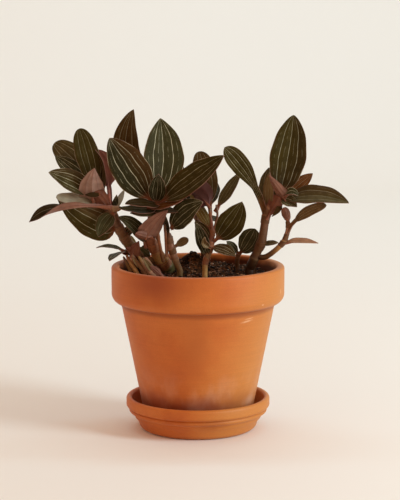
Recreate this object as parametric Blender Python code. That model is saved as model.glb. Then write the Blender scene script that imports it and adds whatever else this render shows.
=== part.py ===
"""A potted jewel orchid: leafy shoots in soil, in a terracotta pot that stands on its saucer.

Units are metres with +Z up. The sizes below are in millimetres and are turned to metres where a
mesh is made. The origin is the centre of the saucer's flat underside. The plant is seen from -Y.
"""
import math
from collections import namedtuple

import bmesh
import bpy
from mathutils import Matrix, Vector

MM = 0.001
GAP = 0.3                 # clearance between pieces that touch
TURN_SIDES = 32           # sides of the turned pieces

# Saucer
SAUCER_FOOT_R = 46.0      # flat underside
SAUCER_BODY_R = 56.0      # below the two grooves
SAUCER_RIDGE_R = 60.4     # narrow ridge between the grooves
SAUCER_BAND_R = 62.7      # widest, the rolled rim
SAUCER_TOP = 28.6
SAUCER_WALL = 5.0
SAUCER_FLOOR = 8.0        # height of the inner floor

# Pot
POT_RIM_R = 75.0          # six-inch clay pot
POT_TOP = 143.5
POT_LIP_WALL = 7.0
POT_LIP_ROUND = 2.4
COLLAR_ROUND = 8.4        # rounded lower edge of the collar
COLLAR_BOTTOM = 109.0
BODY_TOP_R = 66.8         # just under the collar
BODY_TAPER = 0.204        # radius lost for each millimetre down
POT_FOOT = SAUCER_FLOOR + GAP
POT_WALL = 6.0
POT_FLOOR = 7.0           # thickness of the pot's bottom
DRAIN_R = 8.0

# Soil
SOIL_LEVEL = 133.0
SOIL_EDGE_DROP = 1.5
SOIL_RINGS = (62.0, 52.0, 41.0, 30.0, 19.0, 9.0)
HEAP_AT = (-6.0, 38.0)
HEAP_HIGH = 7.0
HEAP_WIDE = 15.0
LUMP_HIGH = 1.3
HOLE_DEEP = 22.0
HOLE_SIDES = 12
STEM_ABOVE_HOLE = 5.0     # height over the soil to which a stem stays upright in its hole

# Leaves and stems
BLADE_THICK = 0.8
STALK_HALF = 1.7          # half width of a leaf stalk where it leaves the stem
TIP_HALF = 0.5
POINTED = (0.65, 0.85)    # exponents of the outline towards the base and towards the tip
BROAD = (0.6, 0.72)
BLUNT = (0.6, 0.5)
FULL_BASE = (0.4, 0.85)
HOODED = (0.35, 0.8)
CLUBBED = (0.9, 0.55)
SLIM = (0.8, 0.9)
LARGE_GRID = (4, 6)       # cells across and along a grown leaf
SMALL_GRID = (2, 4)
LARGE_WIDTH = 14.5        # a leaf wider than this gets the finer grid
TIP_CLOSENESS = 1.4       # how much closer the rows stand towards the tip
STEM_SIDES = 8
THIN_STEM_SIDES = 6
THIN_STEM_R = 2.5
STEM_STEP = 8.0           # length of stem between two rings

Leaf = namedtuple("Leaf", "base tip width face bow fold twist stalk form")
Branch = namedtuple("Branch", "route radii")
Shoot = namedtuple("Shoot", "name root_r branches leaves colour")


def leaf(base, tip, width, face, bow=(0, 0, 0), fold=8, twist=0, stalk=0.12, form=POINTED):
    """One leaf: where its stalk leaves the stem, its tip, its width, the way its upper side looks,
    how far its middle bows away from the straight line, and its fold and twist in degrees."""
    return Leaf(base, tip, width, face, bow, fold, twist, stalk, form)


def soil_height(x, y):
    """Height of the soil at a place: a lumpy floor with one heap towards the back."""
    heap = math.hypot(x - HEAP_AT[0], y - HEAP_AT[1]) / HEAP_WIDE
    lumps = math.sin(0.21 * x + 1.3) * math.cos(0.17 * y) + 0.6 * math.sin(0.33 * y - 0.15 * x)
    return SOIL_LEVEL + HEAP_HIGH * math.exp(-heap * heap) + LUMP_HIGH * lumps


def ground(x, y):
    """A point where a stem comes out of the soil."""
    return (x, y, soil_height(x, y))


LEFT_SHOOT = Shoot(
    "shoot_left", 3.8,
    [Branch([ground(-42, 25), (-48, 22, 144), (-60, 15, 159), (-69, 8, 175), (-74, 4, 187),
             (-80, 2, 196), (-85, 3, 204), (-88, 5, 209)],
            [3.8, 3.8, 3.5, 3.3, 3.7, 2.6, 2.2, 1.8])],
    [leaf((-88, 7, 205), (-103.5, 28, 259.5), 21, (0.1, -0.95, 0.2), bow=(1, -3, 0), form=BLUNT),
     leaf((-88, 9, 206), (-126.5, 38, 246), 24, (0.2, -0.9, 0.3), bow=(2, 0, 3), form=BLUNT),
     leaf((-88, 7, 207), (-125, 24, 236), 17, (0, -0.8, 0.6), bow=(0, 0, 1)),
     leaf((-86, 3, 203), (-127, -16, 225.5), 20, (-0.1, -0.85, 0.5), bow=(0, 0, 2)),
     leaf((-86, 3, 203), (-87, -18, 229.5), 23, (-0.1, 1, 0.1), bow=(-3, 0, -3), fold=30,
          stalk=0.02, form=HOODED),
     leaf((-83, 5, 200), (-90, 18, 242.5), 15, (-0.85, -0.45, 0.2), bow=(4, 0, 0)),
     leaf((-77, 5, 191), (-89, 34, 241), 21, (0.3, 0.95, 0), bow=(4, 0, 0), stalk=0.4),
     leaf((-70, 6, 175), (-121, -8, 204), 33, (-0.1, -0.92, 0.3), bow=(2, -4, -4), fold=-18,
          stalk=0.05, form=FULL_BASE),
     leaf((-80, 1, 196), (-142.5, -30, 185.5), 19, (0.1, 0.2, 0.95), bow=(0, -2, 4), fold=25,
          twist=110, form=CLUBBED),
     leaf((-74, 4, 188), (-70, 0, 204.5), 6, (0.5, -0.8, 0), form=SLIM),
     leaf((-74, 5, 188), (-64, 14, 207.5), 7, (0.6, -0.7, 0.2), form=SLIM),
     leaf((-65, 12, 166), (-58, 8, 177), 9, (0.4, -0.8, 0.4)),
     leaf((-56, 17, 154), (-53.5, 9, 163), 10, (0.2, 0.9, 0.2)),
     leaf((-46, 23, 141), (-50, 10, 157), 8, (0.2, -0.9, 0.3)),
     leaf((-84, 4, 201), (-100, 62, 222), 26, (0, -0.3, 0.95), bow=(0, 0, 6)),
     leaf((-86, 4, 204), (-124, 44, 212), 22, (-0.2, -0.4, 0.9), bow=(0, 0, 6))],
    (0.09, 0.08, 0.03))

BACK_LEFT_SHOOT = Shoot(
    "shoot_back_left", 2.8,
    [Branch([ground(-33, 42), (-35, 43, 152), (-38, 42, 172), (-41, 41, 190), (-43, 40, 200)],
            [2.8, 2.7, 2.6, 2.9, 1.9])],
    [leaf((-43, 40, 197), (-57, 52, 275), 25, (-0.15, -0.97, 0.1), bow=(-13, 0, 0)),
     leaf((-43, 40, 197), (-80, 84, 228), 26, (0.1, -0.5, 0.85), bow=(0, 0, 5)),
     leaf((-43, 40, 195), (-22, 88, 222), 26, (-0.2, -0.5, 0.85), bow=(0, 0, 6)),
     leaf((-41, 41, 188), (-52, 74, 192), 15, (0, -0.4, 0.9), bow=(0, 0, 4))],
    (0.11, 0.07, 0.03))

CENTRE_SHOOT = Shoot(
    "shoot_centre", 4.6,
    [Branch([ground(-27, 20), (-32, 15, 145), (-37, 8, 155), (-41, 2, 166), (-41, 0, 176),
             (-40, -1, 185), (-38, -3, 194), (-36, -3, 200)],
            [4.6, 4.9, 4.5, 4.1, 3.2, 3.0, 3.2, 2.2])],
    [leaf((-38, -3, 196), (-75, -16, 254.5), 32, (-0.1, -0.93, 0.35), form=BROAD),
     leaf((-36, -2, 196), (-33, 30, 268.5), 37, (0.25, -0.95, 0.15), bow=(4, 0, 0), fold=14,
          stalk=0.15),
     leaf((-36, -3, 196), (22, -34, 241.5), 28, (0.25, -0.72, 0.62), bow=(1, 0, -2), fold=24),
     leaf((-36, -4, 196), (-33.5, -16, 224), 15.5, (0, -1, 0.1), fold=14),
     leaf((-37, -4, 195), (-61, -36, 201), 18, (-0.15, -0.5, 0.85)),
     leaf((-37, -4, 194), (-14, -24, 194), 13, (0.1, -0.3, 0.95)),
     leaf((-40, -2, 188), (-67, -22, 196), 15, (0, -0.35, 0.93), bow=(0, 0, -4), fold=20),
     leaf((-40, 1, 162), (-25, -12, 192), 20, (-0.2, 0.95, 0.2), bow=(-2, 0, 0), fold=30,
          stalk=0.05),
     leaf((-40, 1, 162), (-53.5, -14, 172), 14, (0, 0.9, 0.4), fold=20),
     leaf((-41, 0, 164), (-69, -14, 186.5), 12, (0.3, -0.3, 0.9), bow=(2, 0, 2)),
     leaf((-33, 14, 143), (-50, 6, 148), 7, (0, 0.9, 0.4), form=SLIM),
     leaf((-37, -2, 195), (-18, 56, 228), 30, (-0.1, -0.6, 0.8), bow=(0, 0, 4))],
    (0.09, 0.09, 0.035))

SLENDER_SHOOT = Shoot(
    "shoot_slender", 1.9,
    [Branch([ground(-16, 8), (-19, 6, 145), (-23, 3, 158), (-24.5, 1, 168), (-25, 0, 172)],
            [1.9, 1.9, 2.3, 1.7, 1.3])],
    [leaf((-24.5, 1, 167), (10.5, -26, 200.5), 17, (-0.3, -0.6, 0.75), stalk=0.18),
     leaf((-23, 3, 157), (-8.5, 6, 165.5), 7, (0, -0.7, 0.7), stalk=0.3, form=BLUNT),
     leaf((-24.5, 1, 167), (-30, 8, 188), 6, (-0.5, -0.8, 0), form=SLIM)],
    (0.12, 0.08, 0.05))

CENTRE_RIGHT_SHOOT = Shoot(
    "shoot_centre_right", 2.2,
    [Branch([ground(9, -8), (9, -9, 147), (11, -8, 160), (13, -6, 173), (14, -4, 185),
             (13.5, -2, 193)],
            [2.2, 2.1, 2.8, 2.0, 1.8, 1.6])],
    [leaf((13, -2, 190), (1.5, 34, 239), 21, (0.1, -0.85, 0.5), bow=(1, 0, 0), form=BLUNT),
     leaf((13.5, -2, 191), (-8, 12, 205.5), 20, (-0.2, 0.85, 0.5), bow=(0, 0, 3)),
     leaf((13.5, -3, 190), (36, 6, 222.5), 13, (-0.75, -0.5, 0.45), stalk=0.2),
     leaf((11.5, -8, 163), (37.5, -22, 201), 23, (0.05, -0.97, 0.2), bow=(3, 0, -1), stalk=0.15),
     leaf((13, -6, 173), (-6, 14, 203), 14, (0.3, -0.9, 0.2)),
     leaf((9.5, -9, 149), (-1, -16, 182), 11.5, (-0.2, -0.95, 0.1)),
     leaf((11.5, -8, 164), (-2, 4, 181), 12, (0.2, -0.9, 0.4)),
     leaf((11, -8, 160), (32, -22, 154), 13, (0, -0.5, 0.85), bow=(0, 0, 2)),
     leaf((13.5, -3, 188), (8, 52, 212), 20, (0, -0.5, 0.85), bow=(0, 0, 5))],
    (0.11, 0.08, 0.04))

BACK_SHOOT = Shoot(
    "shoot_back", 2.3,
    [Branch([ground(5, 38), (3, 38, 156), (0, 38, 175), (-2, 37, 190)], [2.3, 2.2, 2.6, 1.6])],
    [leaf((-2, 37, 187), (-2, 66, 222), 24, (0, -0.7, 0.7)),
     leaf((-2, 37, 187), (12, 86, 202), 22, (0, -0.3, 0.95), bow=(0, 0, 6)),
     leaf((-1, 38, 179), (-30, 66, 200), 22, (0.2, -0.5, 0.8), bow=(0, 0, 4)),
     leaf((0, 38, 176), (30, 60, 168), 16, (0.1, -0.3, 0.95), bow=(0, 0, 5))],
    (0.10, 0.08, 0.03))

YOUNG_SHOOT = Shoot(
    "shoot_young", 1.8,
    [Branch([ground(34.5, 22), (34.5, 20, 145), (36, 17, 152)], [1.8, 1.8, 1.5])],
    [leaf((35.8, 17.5, 150), (53, 13, 174), 14, (-0.1, -0.95, 0.25), bow=(1, 0, -1)),
     leaf((35.8, 17.5, 150), (25, 12, 162.5), 9, (0.1, -0.8, 0.6))],
    (0.09, 0.08, 0.04))

RIGHT_SHOOT = Shoot(
    "shoot_right", 4.2,
    [Branch([ground(45.5, 12), (48, 9, 145), (52, 7, 155), (55, 5, 162), (57, 3, 173),
             (58.5, 2, 184), (61, 0, 193), (65.5, -2, 198), (71, -3, 201)],
            [4.2, 4.1, 3.9, 4.1, 3.4, 3.3, 3.6, 2.8, 2.0]),
     Branch([(50, 8, 150), (58, 5, 149.5), (66, 2, 155), (73.5, -1, 163), (76.5, -2, 170),
             (77.5, -3, 180), (76, -3, 188)],
            [2.4, 2.4, 2.3, 2.4, 1.8, 1.5, 1.2])],
    [leaf((69, -3, 199), (83.5, 26, 271.5), 31.5, (0, -0.98, 0.2), bow=(1.5, 0, 0), stalk=0.18,
          form=BROAD),
     leaf((60, 1, 191), (22.5, -28, 247.5), 17, (-0.4, -0.75, 0.5), bow=(4, 0, 2), stalk=0.2,
          form=CLUBBED),
     leaf((61, 0, 193), (62, 22, 226), 18, (-0.3, -0.9, 0.3)),
     leaf((60, 1, 191), (61.5, -8, 223.7), 11, (-0.75, -0.6, 0.1)),
     leaf((70, -3, 200), (60, -26, 226.5), 15, (0.35, 0.9, 0.25), fold=25),
     leaf((69, -3, 198), (128, -24, 200), 24, (0.1, -0.62, 0.78), bow=(0, 0, 6), fold=12),
     leaf((69, -2, 199), (100, 32, 221.5), 13, (-0.2, -0.8, 0.6)),
     leaf((70, -3, 199), (83, -12, 194), 13, (-0.2, -0.6, 0.75), fold=35),
     leaf((70, -3, 199), (63.5, -8, 186.5), 5, (0.3, -0.8, 0.4), bow=(3, 0, 1), form=SLIM),
     leaf((77.2, -3, 178), (72, -8, 194), 9, (0, 1, 0), fold=30),
     leaf((76.5, -2, 170), (109.5, -18, 197.5), 15, (-0.4, -0.45, 0.8), bow=(-6, 0, 4), stalk=0.4),
     leaf((74, -1, 163.5), (103.5, -8, 163.5), 12, (0.2, 0.45, 0.87), fold=25),
     leaf((55, 5, 161), (69.5, -2, 163), 7, (0, -0.5, 0.86)),
     leaf((62, 0, 194), (80, 56, 226), 28, (-0.1, -0.5, 0.85), bow=(0, 0, 5)),
     leaf((68, -2, 199), (96, 50, 206), 24, (0, -0.4, 0.9), bow=(0, 0, 6))],
    (0.10, 0.08, 0.03))

LOW_OUTER_SHOOT = Shoot(
    "shoot_low_outer", 1.6,
    [Branch([ground(-49, 26), (-54, 26, 145), (-61, 25, 150), (-65, 24.5, 152)],
            [1.6, 1.6, 1.8, 1.3])],
    [leaf((-64, 24.5, 151), (-90, 30, 154), 9, (0, -0.2, 0.97), bow=(0, 0, 3)),
     leaf((-64, 24.5, 151), (-76, -12, 148.6), 12, (-0.3, -0.2, 0.9), bow=(0, 0, 2))],
    (0.08, 0.09, 0.05))

LOW_INNER_SHOOT = Shoot(
    "shoot_low_inner", 1.5,
    [Branch([ground(-45, 37), (-49, 36, 144), (-57, 32, 151)], [1.5, 1.6, 1.2])],
    [leaf((-56, 32.5, 150), (-66, 40, 166), 12, (0.3, -0.7, 0.6)),
     leaf((-50, 35.5, 144.5), (-44, 30, 158), 9, (-0.3, -0.8, 0.4))],
    (0.11, 0.07, 0.04))

SHOOTS = (LEFT_SHOOT, BACK_LEFT_SHOOT, CENTRE_SHOOT, SLENDER_SHOOT, CENTRE_RIGHT_SHOOT,
          BACK_SHOOT, YOUNG_SHOOT, RIGHT_SHOOT, LOW_OUTER_SHOOT, LOW_INNER_SHOOT)


def material(name, colour, roughness):
    """A plain surface of one colour."""
    made = bpy.data.materials.new(name)
    made.use_nodes = True
    surface = made.node_tree.nodes["Principled BSDF"]
    surface.inputs["Base Color"].default_value = (*colour, 1.0)
    surface.inputs["Roughness"].default_value = roughness
    surface.inputs["Metallic"].default_value = 0.0
    return made


def finish_object(name, shape, surface):
    """Turns a bmesh in millimetres into an object in metres."""
    bmesh.ops.scale(shape, vec=(MM, MM, MM), verts=shape.verts)
    mesh = bpy.data.meshes.new(name)
    shape.to_mesh(mesh)
    shape.free()
    mesh.materials.append(surface)
    made = bpy.data.objects.new(name, mesh)
    bpy.context.scene.collection.objects.link(made)
    return made


def smooth(thing, sharp_angle=35.0):
    """Shades a round piece smooth and keeps its real edges sharp."""
    thing.data.shade_smooth()
    thing.data.set_sharp_from_angle(angle=math.radians(sharp_angle))


def arc(centre_r, centre_z, radius, start, end, steps):
    """Points of an arc in a turned profile, with angles in degrees from the outward direction."""
    points = []
    for step in range(steps + 1):
        angle = math.radians(start + (end - start) * step / steps)
        points.append((centre_r + radius * math.cos(angle), centre_z + radius * math.sin(angle)))
    return points


def turned(profile, closed):
    """Spins a profile of (radius, height) points round the vertical axis."""
    shape = bmesh.new()
    corners = [shape.verts.new((radius, 0.0, height)) for radius, height in profile]
    pairs = list(zip(corners, corners[1:]))
    if closed:
        pairs.append((corners[-1], corners[0]))
    edges = [shape.edges.new(pair) for pair in pairs]
    bmesh.ops.spin(shape, geom=corners + edges, cent=(0, 0, 0), axis=(0, 0, 1),
                   angle=2 * math.pi, steps=TURN_SIDES, use_merge=True)
    bmesh.ops.remove_doubles(shape, verts=shape.verts, dist=0.001)
    bmesh.ops.recalc_face_normals(shape, faces=shape.faces)
    return shape


def body_radius(height):
    """Outer radius of the pot's tapered body."""
    return BODY_TOP_R - BODY_TAPER * (COLLAR_BOTTOM - height)


def inner_radius(height):
    """Inner radius of the pot, straight from the lip to the bottom."""
    lip = POT_RIM_R - POT_LIP_WALL
    foot = body_radius(POT_FOOT) - POT_WALL
    low = POT_FOOT + POT_FLOOR
    return foot + (lip - foot) * (height - low) / (POT_TOP - low)


def make_saucer(surface):
    """The dish: a flat foot, a flared body, two grooves with a ridge between, a rolled rim."""
    rim_round = SAUCER_WALL / 2
    rim_centre = SAUCER_TOP - rim_round
    rim_r = SAUCER_BAND_R - rim_round
    profile = [(0.0, 0.0), (SAUCER_FOOT_R, 0.0)]
    profile += arc(SAUCER_FOOT_R, 6.0, 6.0, -60, -20, 2)
    profile += [(SAUCER_BODY_R - 2, 8.0), (SAUCER_BODY_R, 11.8), (SAUCER_BODY_R + 1, 13.8),
                (SAUCER_RIDGE_R, 15.0), (SAUCER_RIDGE_R + 0.3, 16.6), (SAUCER_RIDGE_R - 0.3, 18.2),
                (SAUCER_BAND_R - 0.3, 19.6), (SAUCER_BAND_R, 22.5)]
    profile += arc(rim_r, rim_centre, rim_round, 0, 180, 5)
    profile += [(rim_r - rim_round - 3.0, SAUCER_FLOOR + 3.0),
                (rim_r - rim_round - 6.0, SAUCER_FLOOR), (0.0, SAUCER_FLOOR)]
    saucer = finish_object("saucer", turned(profile, closed=False), surface)
    smooth(saucer)


def make_pot(surface):
    """The pot: tapered body, thick collar with a rounded lower edge, and a drainage hole."""
    inside = POT_RIM_R - POT_LIP_WALL
    low = POT_FOOT + POT_FLOOR
    outer_lip = POT_RIM_R - POT_LIP_ROUND
    inner_lip = inside + POT_LIP_ROUND
    lip_centre = POT_TOP - POT_LIP_ROUND
    collar_centre = COLLAR_BOTTOM + COLLAR_ROUND
    profile = [(DRAIN_R, POT_FOOT), (body_radius(POT_FOOT) - 1.0, POT_FOOT),
               (body_radius(POT_FOOT + 1.0), POT_FOOT + 1.0),
               (body_radius(60.0), 60.0), (BODY_TOP_R, COLLAR_BOTTOM)]
    profile += arc(POT_RIM_R - COLLAR_ROUND, collar_centre, COLLAR_ROUND, -75, 0, 4)
    profile += arc(outer_lip, lip_centre, POT_LIP_ROUND, 0, 90, 3)
    profile += arc(inner_lip, lip_centre, POT_LIP_ROUND, 90, 180, 3)
    profile += [(inner_radius(low + 3.0), low + 3.0), (inner_radius(low) - 3.0, low),
                (DRAIN_R, low)]
    pot = finish_object("pot", turned(profile, closed=True), surface)
    smooth(pot)


def make_soil(surface):
    """The soil fills the pot. Its top is lumpy, and each stem has a plain hole of its own."""
    bottom = POT_FOOT + POT_FLOOR + GAP
    edge_height = SOIL_LEVEL - SOIL_EDGE_DROP
    edge = inner_radius(edge_height) - GAP * 2
    profile = [(0.0, bottom), (inner_radius(bottom) - 3.0 - GAP * 2, bottom),
               (inner_radius(bottom + 4.0) - GAP * 2, bottom + 4.0), (edge, edge_height)]
    profile += [(radius, SOIL_LEVEL) for radius in SOIL_RINGS]
    profile.append((0.0, SOIL_LEVEL))
    shape = turned(profile, closed=False)
    for corner in shape.verts:
        if corner.co.z > edge_height + 0.1:
            corner.co.z = soil_height(corner.co.x, corner.co.y)
    soil = finish_object("soil", shape, surface)
    holes = bpy.data.collections.new("stem_holes")
    bpy.context.scene.collection.children.link(holes)
    for shoot in SHOOTS:
        make_hole(shoot, holes)
    cut = soil.modifiers.new("stem_holes", "BOOLEAN")
    cut.operation = "DIFFERENCE"
    cut.operand_type = "COLLECTION"
    cut.collection = holes
    cut.solver = "EXACT"


def make_hole(shoot, holes):
    """The cutter for one stem's hole, a hidden guide that isn't a piece of its own."""
    x, y, top = shoot.branches[0].route[0]
    radius = (shoot.root_r + GAP) / math.cos(math.pi / HOLE_SIDES)
    height = HOLE_DEEP + GAP + 8.0
    shape = bmesh.new()
    centre = Matrix.Translation((x, y, top - HOLE_DEEP - GAP + height / 2))
    bmesh.ops.create_cone(shape, cap_ends=True, segments=HOLE_SIDES, radius1=radius,
                          radius2=radius, depth=height, matrix=centre)
    bmesh.ops.scale(shape, vec=(MM, MM, MM), verts=shape.verts)
    mesh = bpy.data.meshes.new("hole_" + shoot.name)
    shape.to_mesh(mesh)
    shape.free()
    cutter = bpy.data.objects.new("hole_" + shoot.name, mesh)
    cutter.hide_render = True
    cutter.display_type = "WIRE"
    holes.objects.link(cutter)


def curve_point(points, place):
    """A point of the smooth curve through the given points; place runs over their numbers."""
    last = len(points) - 1
    index = min(int(place), last - 1)
    part = place - index
    before = points[max(index - 1, 0)]
    start, end = points[index], points[index + 1]
    after = points[min(index + 2, last)]
    return 0.5 * (2 * start + (end - before) * part
                  + (2 * before - 5 * start + 4 * end - after) * part ** 2
                  + (3 * start - before - 3 * end + after) * part ** 3)


def buried_route(branch):
    """A rooted stem's route with the upright stretch in its hole put in front of it."""
    x, y, top = branch.route[0]
    radius = branch.radii[0]
    stub = [(x, y, top - HOLE_DEEP), (x, y, top + 1.0), (x, y, top + STEM_ABOVE_HOLE)]
    return Branch(stub + list(branch.route[1:]), [radius] * 3 + list(branch.radii[1:]))


def tube(branch):
    """A round stem along a smooth curve, made of rings bridged one to the next."""
    points = [Vector(point) for point in branch.route]
    sides = STEM_SIDES if max(branch.radii) > THIN_STEM_R else THIN_STEM_SIDES
    rings_per_span = [max(1, round((b - a).length / STEM_STEP)) for a, b in zip(points, points[1:])]
    places = [0.0]
    for index, count in enumerate(rings_per_span):
        places += [index + (step + 1) / count for step in range(count)]
    shape = bmesh.new()
    previous = None
    across = Vector((1, 0, 0))
    for number, place in enumerate(places):
        place = min(place, len(points) - 1.000001)
        index = int(place)
        centre = curve_point(points, place)
        ahead = curve_point(points, min(place + 0.05, len(points) - 1.000001))
        behind = curve_point(points, max(place - 0.05, 0.0))
        along = (ahead - behind).normalized()
        across = (across - along * across.dot(along)).normalized()
        radius = branch.radii[index]
        radius += (branch.radii[index + 1] - radius) * (place - index)
        frame = Matrix((across, along.cross(across), along)).transposed().to_4x4()
        frame.translation = centre
        is_end = number in (0, len(places) - 1)
        ring = bmesh.ops.create_circle(shape, cap_ends=is_end, segments=sides, radius=radius,
                                       matrix=frame)["verts"]
        edges = [edge for edge in shape.edges if edge.verts[0] in ring and edge.verts[1] in ring]
        if previous:
            bmesh.ops.bridge_loops(shape, edges=previous + edges)
        previous = edges
    bmesh.ops.recalc_face_normals(shape, faces=shape.faces)
    return shape


def half_width(spec, along):
    """Half the leaf's width at a place from 0 at the stem to 1 at the tip."""
    rise, fall = spec.form
    peak = rise / (rise + fall)
    highest = peak ** rise * (1 - peak) ** fall
    blade = min(max((along - spec.stalk) / (1 - spec.stalk), 0.0), 1.0)
    outline = blade ** rise * (1 - blade) ** fall / highest
    stalk = STALK_HALF if along < 0.5 else TIP_HALF
    return max(spec.width / 2 * outline, min(stalk, spec.width / 3))


def blade_point(spec, across, along):
    """A point of the leaf's middle surface; across runs from -1 to 1 between the margins."""
    base, tip = Vector(spec.base), Vector(spec.tip)
    bow = Vector(spec.bow)
    chord = tip - base
    middle = base + chord * along + bow * (4 * along * (1 - along))
    direction = (chord + bow * (4 - 8 * along)).normalized()
    upper = Vector(spec.face)
    upper = (upper - direction * upper.dot(direction)).normalized()
    turn = Matrix.Rotation(math.radians(spec.twist) * (along - 0.5), 3, direction)
    upper = turn @ upper
    side = direction.cross(upper)
    width = half_width(spec, along)
    tilt = math.radians(spec.fold)
    reach = width * across * math.cos(tilt)
    lift = width * abs(across) * math.sin(tilt)
    return middle + side * reach + upper * lift


def make_blade(spec, surface, number):
    """One leaf as a grid bent to shape. Its faces are split before it gets its thickness."""
    cells = LARGE_GRID if spec.width > LARGE_WIDTH else SMALL_GRID
    shape = bmesh.new()
    bmesh.ops.create_grid(shape, x_segments=cells[0], y_segments=cells[1], size=1.0)
    for corner in shape.verts:
        left = (1 - corner.co.y) / 2
        corner.co = blade_point(spec, corner.co.x, 1 - left ** TIP_CLOSENESS)
    bmesh.ops.triangulate(shape, faces=shape.faces)
    blade = finish_object("leaf_%02d" % number, shape, surface)
    thick = blade.modifiers.new("thickness", "SOLIDIFY")
    thick.thickness = BLADE_THICK * MM
    thick.offset = 0.0
    return blade


def make_shoot(shoot):
    """A leafy stem in one solid: its leaves and side branches are joined to the main stem."""
    surface = material(shoot.name + "_leaf", shoot.colour, 0.5)
    stem = finish_object(shoot.name, tube(buried_route(shoot.branches[0])), surface)
    growth = bpy.data.collections.new(shoot.name + "_growth")
    bpy.context.scene.collection.children.link(growth)
    parts = [make_blade(spec, surface, number) for number, spec in enumerate(shoot.leaves)]
    parts += [finish_object("branch", tube(branch), surface) for branch in shoot.branches[1:]]
    for part in parts:
        bpy.context.scene.collection.objects.unlink(part)
        growth.objects.link(part)
    join = stem.modifiers.new("growth", "BOOLEAN")
    join.operation = "UNION"
    join.operand_type = "COLLECTION"
    join.collection = growth
    join.solver = "EXACT"
    apply_join(stem, parts, growth)


def apply_join(stem, parts, growth):
    """Keeps the joined mesh on the stem and removes what it was joined from."""
    graph = bpy.context.evaluated_depsgraph_get()
    joined = bpy.data.meshes.new_from_object(stem.evaluated_get(graph), depsgraph=graph)
    stem.modifiers.clear()
    stem.data = joined
    for part in parts:
        bpy.data.objects.remove(part)
    bpy.data.collections.remove(growth)


def main():
    for thing in list(bpy.data.objects):
        bpy.data.objects.remove(thing)
    terracotta = material("terracotta", (0.48, 0.14, 0.045), 0.85)
    saucer_clay = material("terracotta_saucer", (0.45, 0.13, 0.042), 0.85)
    earth = material("soil", (0.02, 0.012, 0.008), 0.95)
    make_saucer(saucer_clay)
    make_pot(terracotta)
    make_soil(earth)
    for shoot in SHOOTS:
        make_shoot(shoot)


main()
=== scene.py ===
"""The looks of the potted jewel orchid: fired clay pot and saucer, bark soil and leafy shoots.

Sizes are in millimetres and are turned to metres where a piece is finished. +Z is up, the plant is
seen from -Y, and the origin is the centre of the saucer's flat underside.
"""

import logging
import math
import random
from dataclasses import dataclass
from enum import Enum
from functools import cache
from typing import Any, Callable, Sequence

import bmesh
import bpy
from bmesh.types import BMesh
from mathutils import Matrix, Vector, noise

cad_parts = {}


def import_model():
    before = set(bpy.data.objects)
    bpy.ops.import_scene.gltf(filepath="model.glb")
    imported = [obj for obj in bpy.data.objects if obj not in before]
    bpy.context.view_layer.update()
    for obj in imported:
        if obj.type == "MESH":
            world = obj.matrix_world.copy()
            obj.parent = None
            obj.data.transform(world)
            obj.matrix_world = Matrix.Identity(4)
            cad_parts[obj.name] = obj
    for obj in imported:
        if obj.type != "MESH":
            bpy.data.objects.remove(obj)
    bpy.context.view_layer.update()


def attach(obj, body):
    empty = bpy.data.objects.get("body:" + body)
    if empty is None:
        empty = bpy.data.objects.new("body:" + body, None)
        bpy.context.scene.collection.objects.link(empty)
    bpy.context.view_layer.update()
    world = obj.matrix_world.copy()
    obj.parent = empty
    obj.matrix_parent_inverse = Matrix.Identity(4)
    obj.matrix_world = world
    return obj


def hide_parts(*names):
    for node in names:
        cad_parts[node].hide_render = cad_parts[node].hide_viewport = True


Point = tuple[float, float, float]
Pair = tuple[float, float]
Rule = Callable[[float, float], Any]
Tree = bpy.types.NodeTree
Socket = bpy.types.NodeSocket

# Metres in a millimetre, and how near points lie, in millimetres, to count as one.
MM = 0.001
MERGE = 0.002
# Node settings that repeat: a range that eases in and out, and a mix of two colours.
SMOOTH = {"interpolation_type": "SMOOTHSTEP"}
COLOURS = {"data_type": "RGBA"}
# The body that every piece rides on.
BODY = "root"

log = logging.getLogger("jewel_orchid")


@cache
def linear(colour: str) -> tuple[float, float, float, float]:
    """Turns an sRGB hex colour to linear light.

    Args:
        colour: the colour as "#RRGGBB".

    Returns:
        Red, green, blue and a full alpha.
    """
    parts = [int(colour[start:start + 2], 16) / 255 for start in (1, 3, 5)]
    red, green, blue = [part / 12.92 if part <= 0.04045 else ((part + 0.055) / 1.055) ** 2.4
                        for part in parts]
    return red, green, blue, 1.0


def per_metre(size: float) -> float:
    """Pattern scale for features of a size in millimetres."""
    return 1.0 / (size * MM)


def ease(low: float, high: float, value: float) -> float:
    """Smooth step from 0 at low to 1 at high."""
    part = min(max((value - low) / (high - low), 0.0), 1.0)
    return part * part * (3 - 2 * part)


def blend(first: Sequence[float], second: Sequence[float], part: float) -> tuple[float, ...]:
    """Mixes two colours or points."""
    return tuple(a + (b - a) * part for a, b in zip(first, second))


def add(tree: Tree, kind: str, inputs: dict | None = None,
        stops: Sequence[tuple[float, str]] = (), **settings: Any) -> bpy.types.NodeOutputs:
    """Adds a node with its settings and links.

    Args:
        tree: the node tree of a material or world.
        kind: the node's type name.
        inputs: a value or an output socket for each input, by name or number.
        stops: places and hex colours of a colour ramp.
        settings: the node's own properties.

    Returns:
        The node's outputs.
    """
    node = tree.nodes.new(kind)
    for name, value in settings.items():
        setattr(node, name, value)
    for name, value in (inputs or {}).items():
        socket = node.inputs[name]
        if isinstance(value, Socket):
            tree.links.new(value, socket)
        else:
            socket.default_value = value
    if stops:
        elements = node.color_ramp.elements
        while len(elements) < len(stops):
            elements.new(0.5)
        for element, (place, colour) in zip(elements, stops):
            element.position = place
            element.color = linear(colour)
    return node.outputs


def new_material(name: str) -> tuple[bpy.types.Material, Tree]:
    """Makes an empty node material.

    Args:
        name: the material's name.

    Returns:
        The material and its node tree.
    """
    made = bpy.data.materials.new(name)
    made.use_nodes = True
    made.node_tree.nodes.clear()
    return made, made.node_tree


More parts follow.
